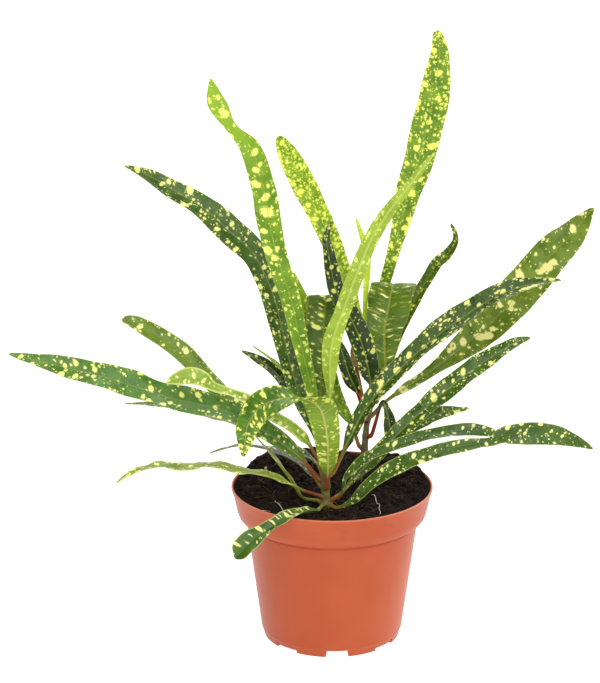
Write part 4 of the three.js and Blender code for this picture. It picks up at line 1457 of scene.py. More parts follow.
@dataclass
class Soil:
    """The peat: a solid body with an uneven top, crumbs, fibres and a few roots. Millimetres."""

    pot: Pot
    level: float = 91.2
    gap: float = 0.35
    banks: tuple[Hump, ...] = (
        Hump(45, 34, 34, 8), Hump(-37, 41, 38, 8.5), Hump(-6, 52, 30, 4.5),
        Hump(-4, -30, 40, -4.2), Hump(-56, 2, 30, 2.6), Hump(56, 2, 28, 2.4),
    )
    clod_height: float = 0.75
    lump: float = 1.5  # height of the lumps a few millimetres across
    segments: int = 160
    rings: int = 64
    root_lift: float = 1.8  # how high the pale roots lie on the lumps
    root_sway: float = 0.4
    root_taper: float = 0.7
    root_sides: int = 8
    # the pale roots on the surface and a white grain: radius, then x, y along it
    roots: tuple[tuple[float, tuple[tuple[float, float], ...]], ...] = (
        (0.24, (
            (-33.8, -20), (-33.2, -25), (-31.6, -30), (-30.6, -35), (-28.6, -39), (-26, -45),
        )),
        (0.24, (
            (23.5, -11), (25, -17), (26, -24), (27.4, -31), (27, -37), (27.6, -42), (26.6, -50),
        )),
        (0.16, ((-41, -39), (-39, -40.5), (-36, -42))),
        (0.8, ((-40, 18.6), (-39.6, 18), (-39.2, 17.2))),
    )

    def height(self, x: Array, y: Array) -> Array:
        """The smooth height of the surface."""
        clods = np.sin(x * 0.31 + 1.3) * np.cos(y * 0.27) + 0.7 * np.sin(x * 0.71 - y * 0.53)
        return self.level + sum(bank.at(x, y) for bank in self.banks) + self.clod_height * clods

    def rough_height(self, x: float, y: float) -> float:
        """The height with lumps and pits."""
        lumps = fractal((x, y, 0.0), 7.0, 4) + 0.45 * fractal((x, y, 40.0), 2.2, 3)
        return float(self.height(np.float64(x), np.float64(y))) + self.lump * lumps

    def build(self) -> list[Piece]:
        """Builds the soil and everything that lies on it.

        Returns:
            The finished pieces.
        """
        wall = self.pot.inner_outline(self.pot.wall + self.gap)
        wall[0] = (self.pot.heel_radius - self.pot.wall - self.gap - 0.3, self.pot.floor_top + 1.6)
        edge = wall[-1][0]
        around = circle(self.segments)
        floor = self.pot.floor_top + self.gap
        side = [
            (self.pot.sunk_radius - 0.3, floor - self.pot.sunk),
            (self.pot.sunk_radius + 1.2, floor),
            (self.pot.heel_radius - self.pot.wall - self.gap - 2.2, floor),
            *wall,
        ]
        rings = [np.column_stack([around * r, np.full(self.segments, z)]) for r, z in side]
        for i in range(1, self.rings):
            flat = around * edge * (1 - i / self.rings) ** 0.9
            rings.append(np.column_stack([flat, [self.rough_height(x, y) for x, y in flat]]))
        points = np.vstack(rings)
        faces = tube_faces(len(rings), self.segments)
        mass = new_piece("soil_mass", points, faces)
        mass.data.materials.append(PEAT.material())
        first_top = (len(side) - 1) * self.segments
        strewn = self.strewn()
        pieces = [mass, self.pale_roots()]
        for tree, margin in strewn:
            inner = [
                face for face in faces[:-2]
                if min(face) >= first_top and np.hypot(*points[face[0], :2]) < edge - margin
            ]
            top = new_piece("soil_top", points, [*inner, faces[-1]])
            pieces.append(tree.strew(top, "peat_soil"))
            bpy.data.objects.remove(top)
        keep_piece(mass, "peat_soil", "soil")
        return pieces

    @staticmethod
    def strewn() -> tuple[tuple[ScatterTree, float], ...]:
        """What lies on the soil, each with how far it keeps from the wall."""
        crumb, fibre = CRUMB.material(), FIBRE.material()
        return (
            (ScatterTree(
                "soil_clods", 26000, 0.0028, 0.0066, 3, crumb, ragged=0.3, sink=0.0012, sides=8,
            ), 4.0),
            (ScatterTree(
                "soil_crumbs", 190000, 0.001, 0.0034, 5, crumb, ragged=0.3, sink=0.0002,
            ), 2.0),
            (ScatterTree(
                "soil_grit", 420000, 0.0004, 0.0013, 11, crumb, sink=0.0001, sides=5,
            ), 0.8),
            (ScatterTree(
                "soil_fibres", 26000, 0.003, 0.013, 17, fibre, tilt=0.4, ragged=0.06,
                sink=-0.0012, fibre=True,
            ), 7.0),
        )

    def pale_roots(self) -> Piece:
        """Thin pale roots that lie on the soil."""
        points, faces = [], []
        for radius, route in self.roots:
            lifted = [
                (x, y, self.rough_height(x, y) + self.root_lift + self.root_sway * (i % 2))
                for i, (x, y) in enumerate(route)
            ]
            path = Path(np.array(lifted))
            distances = np.linspace(0, path.length, 40)
            radii = radius * (1 - self.root_taper * (distances / path.length) ** 2)
            rings = round_tube(path, radii, distances, self.root_sides)
            first = sum(len(block) for block in points)
            faces += tube_faces(len(rings), self.root_sides, first=first)
            points.append(rings.reshape(-1, 3))
        piece = new_piece("soil_roots", np.vstack(points), faces)
        piece.data.materials.append(ROOTLET.material())
        keep_piece(piece, "peat_soil")
        return piece


# ---- leaves


@dataclass(frozen=True)
class LeafSpec:
    """One leaf as it grows, in millimetres and degrees."""

    name: str
    stem: Stem
    look: Look
    foot: float  # the height on its stem where the stalk leaves it
    stalk: float  # length of the bare stalk
    fold: float  # how far the two halves are raised from flat
    widths: tuple[float, ...]  # the blade's width at equal steps from its stalk to its tip
    route: tuple[Point, ...]  # points of the midrib after the foot, out to the tip
    upper: tuple[Point, ...]  # which way the upper face looks, from the foot to the tip
    waves: float = 4  # waves along an edge
    wave: float = 0.6  # and their height
    blush: float = 0.15  # how red the stalk is
    # large blotches: share of the blade's length, millimetres to the right of the midrib, radius
    blots: tuple[Point, ...] = ()
    brown: tuple[Point, ...] = ()  # brown spots, in the same way


LEAVES = (
    LeafSpec(
        "upper_left", Stem.FRONT, Look.DEEP, foot=108, stalk=14, fold=12, wave=0.7, blush=0.4,
        widths=(3, 6, 11, 12.5, 14, 15.5, 16, 16, 17.5, 17.5, 15, 12.5, 8, 1.5),
        route=((-6, -18, 115), (-10, -12, 128), (-23, 3, 161), (-34, 22, 202), (-39, 27, 214),
            (-47, 31, 228), (-60, 36, 239), (-78, 41, 254), (-96, 44, 264), (-110, 46, 272),
            (-123, 48, 277)),
        upper=((0.3, -1, 0.1), (0.3, -1, 0.2), (0.2, -0.8, 0.6), (0.2, -0.8, 0.6)),
        blots=((0.963, 0.7, 2), (0.811, 4.9, 2.4), (0.688, -4.6, 1.7), (0.669, 4.2, 1.6),
            (0.872, 3, 1.6), (0.885, -0.2, 1.5), (0.497, 3.1, 1.8), (0.459, 2, 1.6),
            (0.525, 1.4, 1.6), (0.612, -6.2, 1.5), (0.45, -4.4, 1.5), (0.643, -5.9, 1.2)),
    ),
    LeafSpec(
        "tall_left", Stem.FRONT, Look.BRIGHT, foot=122, stalk=12, fold=10, waves=5, wave=0.8,
        widths=(3, 5.5, 7.5, 9, 10.5, 11.5, 12.5, 13.5, 14.5, 14, 12.5, 7, 12.5, 1.5),
        route=((-8, -16, 130), (-13, -12, 160), (-19, -9, 186), (-25, -6, 213), (-32, -4, 234),
            (-37, -1, 257), (-40, 2, 275), (-47, 5, 297), (-56, 6, 307), (-61, 6, 314),
            (-66, 5, 325), (-70, 2, 339)),
        upper=((0.1, -1, 0.1), (0, -1, 0.1), (-0.1, -1, 0.2), (-0.5, -0.9, 0.1)),
        blots=((0.605, -0.3, 3.4), (0.508, -4.6, 2.6), (0.645, 0.3, 2.5), (0.684, -3.7, 2.5),
            (0.72, -1.7, 2.1), (0.894, 1.7, 2.5), (0.906, 0.2, 1.8), (0.766, 1.2, 2.1),
            (0.483, -1.2, 2), (0.558, -3.9, 1.8), (0.731, 1.4, 1.5)),
    ),
    LeafSpec(
        "gold_upright", Stem.BACK, Look.GOLD, foot=144, stalk=12, fold=8, wave=0.7,
        widths=(2.5, 3, 4, 5.5, 7.5, 9, 10.5, 12, 13, 13.5, 15, 14.5, 12, 5),
        route=((21, 27, 164), (16, 36, 184), (9, 48, 206), (-4, 56, 237), (-18, 59, 265),
            (-32, 60, 292)),
        upper=((-0.2, -1, 0.2), (-0.1, -1, 0.2), (0, -1, 0.3)),
        blots=((0.77, -4, 1.9), (0.65, -3.4, 1.9), (0.972, 0.3, 1.6), (0.711, -3.4, 1.6),
            (0.81, -5.5, 1.5)),
    ),
    LeafSpec(
        "small_dark_upright", Stem.BACK, Look.SHADED, foot=148, stalk=5, fold=16, waves=3, wave=0.5,
        widths=(5, 10, 13, 14, 14, 13, 12, 11, 10.5, 9.5, 8, 6.5, 4.5, 1.5),
        route=((23, 9, 154), (21, 8, 165), (17, 8, 180), (10, 9, 196), (2, 10, 211), (0, 11, 219),
            (-3, 14, 235), (-4, 16, 240), (-3, 18, 246), (0, 19, 251)),
        upper=((0.1, -1, 0.2), (0.3, -0.9, 0.2), (0.4, -0.9, 0.1)),
        blots=((0.733, 0.3, 1.3), (0.606, -1.5, 1.6), (0.956, 0.4, 1.1)),
    ),
    LeafSpec(
        "new_tall", Stem.BACK, Look.NEW, foot=160, stalk=6, fold=22, waves=2, wave=0.3,
        widths=(2, 2, 2.5, 3, 4, 4.5, 3.5, 1.5),
        route=((25, 28, 171), (20, 31, 184), (20, 31, 227), (14, 31, 249)),
        upper=((0, -1, 0.2), (0.3, -1, 0.1)),
    ),
    LeafSpec(
        "new_short", Stem.BACK, Look.NEW, foot=154, stalk=5, fold=22, waves=2, wave=0.3,
        widths=(2, 3, 4.5, 5.5, 5, 3, 1.5),
        route=((21, 23, 168), (18, 25, 186), (15, 26, 199)),
        upper=((0, -1, 0.2), (-0.3, -1, 0.1)),
    ),
    LeafSpec(
        "tallest", Stem.BACK, Look.SPANGLED, foot=156, stalk=14, fold=8, wave=0.8,
        widths=(3, 4, 5, 6.5, 7.5, 9.5, 13, 16, 18, 19, 18.5, 17, 12, 5),
        route=((32, 36, 163), (31, 49, 179), (31, 56, 196), (35, 58, 213), (41, 61, 236),
            (46, 63, 258), (52, 63, 277), (56, 62, 296), (60, 61, 314), (62, 60, 331),
            (63, 59, 344), (61, 58, 356)),
        upper=((0.1, -1, 0.2), (0, -1, 0.2), (0.1, -1, 0.2)),
        blots=((0.839, -6.5, 1.9), (0.943, -3.4, 1.9), (0.874, 0.8, 2.1), (0.66, 5.6, 2.4),
            (0.669, 8.9, 1.9), (0.593, -6.4, 1.6), (0.761, -8.8, 1.5), (0.727, 0.5, 1.6),
            (0.511, 1.8, 2.4), (0.542, -7.8, 1.5), (0.407, 2.5, 1.6), (0.315, 1.9, 1.7),
            (0.347, -2.3, 1.6), (0.558, 4.4, 1.6), (0.802, 2.3, 1.5)),
    ),
    LeafSpec(
        "pale_underside", Stem.FRONT, Look.PALE, foot=131, stalk=14, fold=6, blush=0.6,
        widths=(2, 2.5, 6.5, 10, 10.5, 9.5, 9.5, 9.5, 9, 8.5, 7.5, 6, 4.5, 1.5),
        route=((-3, -29, 151), (-2, -31, 162), (-2, -33, 176), (-1, -36, 193), (6, -40, 216),
            (14, -43, 240), (21, -46, 258), (30, -49, 274), (42, -52, 291), (54, -54, 308)),
        upper=((0.1, 1, 0), (0, 1, 0.1), (0.1, 1, 0.2)),
    ),
    LeafSpec(
        "arching_broad", Stem.BACK, Look.DASHED, foot=141, stalk=8, fold=4, wave=0.7, blush=0.4,
        widths=(3, 3.5, 5.5, 12, 17, 20.5, 23, 25.5, 26, 26, 26, 25.5, 20, 14),
        route=((28, 10, 148), (31, 11, 159), (31, 19, 185), (33, 23, 194), (35, 29, 204),
            (36, 33, 207), (37, 41, 206), (39, 48, 200), (40, 50, 190)),
        upper=((0, -1, 0.2), (0, -1, 0.4), (0, -0.2, 1), (0, 0.6, 0.8)),
    ),
    LeafSpec(
        "twisted_small", Stem.BACK, Look.DARK_DASHED, foot=151, stalk=10, fold=18, waves=3,
        widths=(2.5, 2.5, 3.5, 5, 6, 7, 7.5, 7.5, 7.5, 7.5, 7, 6, 4, 1.5),
        route=((35, 40, 158), (39, 52, 166), (43, 58, 175), (51, 63, 190), (60, 67, 204),
            (65, 68, 212), (70, 69, 216), (75, 69, 224), (75, 69, 230), (72, 69, 236)),
        upper=((0.2, -1, 0.3), (-0.2, -0.9, 0.5), (-0.6, -0.7, 0.3)),
    ),
    LeafSpec(
        "broad_right", Stem.BACK, Look.BLOTCHED, foot=132, stalk=12, fold=6, wave=0.9,
        widths=(3, 5.5, 6.5, 9.5, 14, 19, 22, 23, 24, 24, 22.5, 19, 13, 2),
        route=((30, 18, 138), (37, 20, 143), (59, 26, 156), (79, 32, 170), (96, 36, 184),
            (110, 39, 199), (132, 43, 225), (142, 44, 235), (155, 45, 252)),
        upper=((-0.2, -0.8, 0.6), (-0.3, -0.9, 0.5), (-0.2, -1, 0.3)),
        blots=((0.898, -1.7, 2.4), (0.738, 3, 3.2), (0.765, 3.8, 2.4), (0.709, 1.5, 2.2),
            (0.654, -6.3, 3), (0.619, -5.5, 1.7), (0.401, 1.9, 2.8), (0.425, 4.9, 2.7),
            (0.453, 3.7, 1.9), (0.345, -2.2, 2.4), (0.308, -4, 2.1), (0.076, 0.5, 2.7),
            (0.563, 0.7, 2), (0.546, 3, 1.7), (0.53, -3.7, 1.7)),
        brown=((0.308, -4, 1.4), (0.403, 0.8, 0.9), (0.076, 0.5, 1.2)),
    ),
    LeafSpec(
        "grooved_right", Stem.FRONT, Look.GREY, foot=107, stalk=12, fold=24, blush=0.5,
        widths=(3, 7, 10, 11, 11.5, 12.5, 13.5, 15, 16, 15, 13, 11.5, 7.5, 1.5),
        route=((0, -20, 108), (8, -15, 123), (19, -10, 144), (32, -7, 160), (55, -3, 182),
            (78, 0, 199), (100, 2, 212), (122, 3, 218), (133, 4, 219)),
        upper=((-0.4, -0.7, 0.5), (-0.4, -0.7, 0.6), (-0.3, -0.6, 0.8), (-0.2, -0.5, 0.9)),
        blots=((0.97, -1.3, 1.7), (0.907, 2, 1.7), (0.871, 2.8, 1.6), (0.801, -0.7, 1.6),
            (0.711, -1, 1.3), (0.627, 0, 1.3), (0.519, 1.9, 1.7), (0.48, 0.3, 1.6),
            (0.423, -2.2, 1.8), (0.358, -0.5, 2.1), (0.291, -2.3, 1.9), (0.267, -0.3, 1.5)),
    ),
    LeafSpec(
        "notched_right", Stem.FRONT, Look.DEEP, foot=91, stalk=10, fold=12, waves=5, wave=0.8,
        widths=(3, 7, 9, 10, 10.5, 11, 11.5, 12.5, 13.5, 13, 12, 10.5, 7, 1.5),
        route=((5, -18, 95), (13, -14, 103), (22, -11, 112), (55, 0, 142), (73, 5, 156),
            (90, 9, 168), (110, 13, 179), (117, 14, 181)),
        upper=((-0.4, -0.7, 0.6), (-0.4, -0.8, 0.6), (-0.3, -0.7, 0.7)),
        blots=((0.69, -2.4, 1.9), (0.636, -1.9, 1.2), (0.532, -1.1, 2.3), (0.804, 3.4, 1.5),
            (0.395, 1.2, 1.3)),
    ),
    LeafSpec(
        "short_right", Stem.BACK, Look.DEEP, foot=106, stalk=8, fold=10, waves=3,
        widths=(3, 5, 6.5, 8, 8.5, 8.5, 8.5, 7, 4, 1.5),
        route=((29, 18, 111), (44, 24, 119), (65, 30, 128), (83, 34, 130)),
        upper=((0, -0.5, 0.9), (0, -0.8, 0.6)),
    ),
    LeafSpec(
        "low_right_short", Stem.FRONT, Look.VIVID, foot=92.5, stalk=8, fold=18, waves=3, wave=0.5, blush=0.7,
        widths=(2.5, 3, 4.5, 7, 8, 8, 8, 8, 8.5, 9, 9, 8.5, 7.5, 4.5),
        route=((4, -26, 96), (6, -29, 102), (8, -29, 109), (13, -29, 115), (20, -29, 121),
            (36, -29, 128), (53, -28, 134), (67, -27, 136), (80, -26, 137), (95, -25, 135)),
        upper=((-0.7, -0.4, 0.6), (-0.4, -0.5, 0.8), (0, -0.5, 0.9), (0, -0.7, 0.7)),
        blots=((0.82, -1.6, 1), (0.709, -0.2, 1)),
    ),
    LeafSpec(
        "low_right_long", Stem.FRONT, Look.VIVID, foot=89, stalk=8, fold=8, wave=0.8, blush=0.4,
        widths=(2.5, 5, 8, 9, 9.5, 9.5, 9, 7.5, 5.5, 11, 13, 12, 8, 1.5),
        route=((3, -31, 91), (11, -36, 97), (24, -39, 111), (41, -42, 123), (50, -43, 127),
            (67, -43, 132), (84, -42, 135), (91, -42, 136), (97, -41, 139), (105, -41, 140),
            (118, -40, 140), (131, -39, 138), (144, -38, 133), (150, -38, 130)),
        upper=((-0.5, -0.8, 0.5), (-0.3, -0.8, 0.6), (0, -0.7, 0.7), (0, -0.9, 0.4), (0, -0.9, 0.5)),
        blots=((0.694, -4.6, 1.6), (0.75, -0.4, 1.1), (0.881, -0.4, 1.1), (0.611, 0.9, 1.2),
            (0.356, -1.5, 1.6), (0.29, 0.5, 1), (0.41, 2.2, 1), (0.5, -2, 1)),
    ),
    LeafSpec(
        "far_left", Stem.FRONT, Look.MEADOW, foot=105, stalk=10, fold=14, waves=5, wave=0.8, blush=0.75,
        widths=(4, 9, 12.5, 14.5, 15.5, 17, 18, 16.5, 18, 17, 15, 12, 7.5, 1.5),
        route=((-15, -21, 114), (-31, -18, 127), (-54, -16, 142), (-73, -15, 148), (-92, -14, 152),
            (-113, -14, 159), (-135, -14, 166), (-188, -14, 180)),
        upper=((0.2, -0.6, 0.8), (0.1, -0.6, 0.8), (0.2, -0.8, 0.6)),
        blots=((0.831, -5.3, 2.1), (0.825, 0.6, 1.5), (0.787, -4.4, 1.8), (0.925, -3.5, 1.6),
            (0.963, -0.2, 1.5), (0.735, 3.2, 1.8), (0.733, -1.3, 1.5), (0.553, -8, 2),
            (0.571, -5.9, 1.3), (0.554, 1.7, 2), (0.508, -8.2, 2.1), (0.485, -4.2, 1.5),
            (0.457, 3.4, 1.6), (0.407, 5.4, 1.9), (0.347, 0.2, 1.6), (0.328, -6.9, 1.6)),
    ),
    LeafSpec(
        "left_olive", Stem.FRONT, Look.SPARSE, foot=100, stalk=12, fold=8, wave=0.5, blush=0.5,
        widths=(3, 4, 5.5, 7, 8.5, 9.5, 10.5, 11, 11.5, 12.5, 12, 12, 10, 4),
        route=((-12, -16, 107), (-25, -3, 121), (-49, 7, 134), (-67, 15, 147), (-88, 22, 168),
            (-104, 25, 179), (-119, 27, 187), (-125, 28, 188)),
        upper=((0.2, -0.8, 0.6), (0.3, -0.8, 0.6), (0.3, -0.8, 0.7)),
        blots=((0.919, -1, 1.9), (0.711, 2.2, 1.8), (0.753, 2.5, 1.1), (0.8, -3.7, 1.1)),
    ),
    LeafSpec(
        "left_curled", Stem.FRONT, Look.STRIPED, foot=117, stalk=12, fold=8, waves=3, wave=0.9, blush=0.6,
        widths=(4, 6, 7, 7.5, 7.5, 7.5, 7.5, 7, 6, 6, 9, 11.5, 8.5, 1.5),
        route=((-10, -26, 122), (-15, -28, 131), (-25, -30, 141), (-40, -31, 151), (-54, -31, 160),
            (-70, -31, 166), (-75, -32, 170), (-81, -32, 172), (-93, -33, 170), (-96, -33, 168)),
        upper=((0.3, -0.7, 0.6), (0.4, -0.8, 0.5), (0.2, -0.6, 0.8), (0.1, -0.9, 0.5)),
        blots=((0.832, 0.4, 1.6), (0.773, -0.5, 1.5)),
    ),
    LeafSpec(
        "front_folded", Stem.FRONT, Look.LIME, foot=101, stalk=8, fold=5, waves=3, wave=0.7, blush=0.9,
        widths=(3, 9, 12.5, 14.5, 16, 17.5, 18.5, 19.5, 20, 19.5, 17.5, 14, 9, 1.5),
        route=((-3, -29, 108), (-3, -37, 129), (-4, -41, 142), (-7, -45, 156), (-11, -47, 161.5),
            (-17, -49, 164.5), (-26, -51, 165.5), (-35, -52, 164), (-41.5, -52, 160.5),
            (-46, -52, 154.5), (-49.2, -52, 148), (-50.2, -52, 141), (-51, -51.5, 134.5),
            (-51.7, -51, 129.6)),
        upper=((0, 1, 0.2), (-0.1, 1, 0.3), (-0.2, 0.5, 1), (-0.3, -0.8, 0.6), (-0.3, -1, 0.2)),
        blots=((0.7, 5.5, 1.7), (0.731, -6.3, 1.6), (0.796, -6.4, 1.1), (0.829, -2.3, 1.3),
            (0.771, 7.6, 1.2), (0.913, -4.7, 1.1), (0.491, -5.8, 1.9), (0.22, 1.9, 1.6),
            (0.717, -2, 1.1)),
    ),
    LeafSpec(
        "low_left_level", Stem.FRONT, Look.OLIVE, foot=95, stalk=14, fold=8, wave=0.9, blush=0.8,
        widths=(3, 6, 9, 11, 12, 12, 12, 11.5, 10.5, 8, 12, 8, 4, 1.5),
        route=((-17, -34, 103), (-24, -37, 108), (-38, -42, 115), (-56, -46, 120), (-74, -50, 124),
            (-88, -53, 124), (-102, -56, 126), (-115, -58, 123), (-124, -60, 117)),
        upper=((0, 0, 1), (0.1, 0, 1), (0, -0.1, 1)),
        blots=((0.784, 1.9, 1.5), (0.621, -0.2, 1.5), (0.515, -2.8, 1.6)),
    ),
    LeafSpec(
        "low_left_edge", Stem.FRONT, Look.OLIVE, foot=91, stalk=8, fold=10, waves=2, wave=0.4,
        widths=(3, 6.5, 9, 10, 9.5, 8, 5, 1.5),
        route=((-17, -22, 94), (-25, -19, 105), (-36, -14, 118), (-45, -8, 127)),
        upper=((0.8, 0.3, 0.5), (0.9, 0, 0.6)),
    ),
    LeafSpec(
        "back_left_low", Stem.FRONT, Look.SHADED, foot=91, stalk=12, fold=10, waves=3,
        widths=(3, 6, 9, 10.5, 10.5, 9.5, 7, 4, 1.5),
        route=((-7, -9, 97), (-19, 4, 105), (-37, 16, 110), (-56, 26, 109), (-74, 35, 101)),
        upper=((0, 0.3, 1), (0, 0.27, 1)),
    ),
    LeafSpec(
        "back_left", Stem.FRONT, Look.DEEP, foot=103, stalk=12, fold=10,
        widths=(3, 7, 11, 13, 13, 12, 9, 5, 1.5),
        route=((-9, -8, 110), (-32, 10, 117), (-62, 22, 127), (-97, 30, 133), (-125, 34, 133)),
        upper=((0.1, 0, 1), (0, -0.2, 1)),
    ),
    LeafSpec(
        "left_short_dark", Stem.FRONT, Look.SHADED, foot=127, stalk=8, fold=12, waves=3, wave=0.5,
        widths=(3, 5.5, 8.5, 10, 10, 8.5, 6, 1.5),
        route=((-5, -11, 126), (-10, 6, 133), (-25, 18, 148), (-38, 24, 160), (-54, 29, 168)),
        upper=((0.3, -0.5, 0.8), (0.2, -0.6, 0.8)),
        blots=((0.884, 1.3, 1.1),),
    ),
    LeafSpec(
        "left_short_green", Stem.FRONT, Look.BRIGHT, foot=130, stalk=8, fold=12, waves=3, wave=0.4,
        widths=(3, 5, 7.5, 9, 9, 7.5, 5, 1.5),
        route=((-6, -11, 136), (-12, 4, 143), (-24, 12, 155), (-36, 15, 167), (-47, 17, 175)),
        upper=((0.7, 0.2, 0.7), (0.7, 0.1, 0.7)),
    ),
    LeafSpec(
        "arching_dark", Stem.FRONT, Look.DARK_DASHED, foot=143, stalk=8, fold=4, wave=0.7, blush=0.5,
        widths=(3, 10, 16, 20, 21, 21, 21, 20.5, 19, 14),
        route=((-7, -9, 152), (-6, 4, 170), (-5, 14, 189), (-4, 21, 200), (-4, 27, 203),
            (-5, 31, 199), (-5, 33, 187)),
        upper=((0, -1, 0.2), (0, -1, 0.4), (0, -0.2, 1), (0, 0.6, 0.8)),
        blots=((0.533, -4.5, 2.1), (0.732, 2, 1.6), (0.616, -1.9, 1.5)),
    ),
    LeafSpec(
        "back_centre", Stem.BACK, Look.BRIGHT, foot=112, stalk=12, fold=10, blush=0.6,
        widths=(3, 7, 11.5, 14, 14, 12.5, 9, 5, 1.5),
        route=((12, 18, 125), (0, 24, 144), (-10, 32, 171), (-16, 38, 194), (-23, 42, 213)),
        upper=((0, -1, 0.2), (0.1, -1, 0.3)),
    ),
    LeafSpec(
        "red_stalk_dark", Stem.BACK, Look.SHADED, foot=130, stalk=24, fold=10, waves=2, wave=0.5, blush=1.0,
        widths=(3, 6, 8.5, 9, 9, 8, 6, 3),
        route=((17, 4, 143), (14, -2, 154), (10, -6, 164), (6, -9, 178), (3, -10, 187)),
        upper=((-0.4, -0.9, 0.3), (-0.2, -1, 0.2)),
        blots=((0.465, -4.4, 1.2),),
    ),
    LeafSpec(
        "red_stalk_tan", Stem.BACK, Look.TAN, foot=139, stalk=26, fold=10, waves=2, wave=0.4, blush=0.8,
        widths=(2.5, 5, 6.5, 7, 6, 2.5),
        route=((18, 12, 144.5), (16, 12, 155), (14, 12, 165), (14, 13, 172), (14, 13, 178)),
        upper=((0, 1, 0.2), (0.2, 1, 0.2)),
    ),
    LeafSpec(
        "drooping", Stem.BACK, Look.SHADED, foot=120, stalk=20, fold=8, waves=2, wave=0.4, blush=1.0,
        widths=(3, 3.5, 4.5, 5.5, 7, 8, 8.5, 8, 6),
        route=((26, 8, 131), (28, 5, 140), (30, 3, 144.5), (32.5, 4, 138), (34.5, 5, 127),
            (36, 6, 116)),
        upper=((-0.3, -1, 0.2), (0, -0.5, 1), (0.2, -1, 0.2)),
    ),
    LeafSpec(
        "over_rim", Stem.FRONT, Look.EDGED, foot=90, stalk=8, fold=26, waves=3, wave=0.8,
        widths=(3, 3.5, 5, 6.5, 7.5, 8, 8, 8, 8.5, 10, 11.5, 12.5, 12, 6),
        route=((-9, -38, 92), (-13, -46, 94.5), (-19, -53, 96.5), (-24, -58, 97), (-30, -62, 94.5),
            (-37, -66, 91.5), (-49, -72, 84), (-53, -74, 80), (-56, -75, 77)),
        upper=((0, -0.1, 1), (0, -0.1, 1), (-0.1, -0.5, 0.9), (-0.2, -0.8, 0.6)),
        blots=((0.464, 0.2, 2), (0.415, -3.1, 1.7), (0.714, 3.7, 2.1), (0.911, 4.5, 1.6),
            (0.599, 2.2, 1.4)),
    ),
)


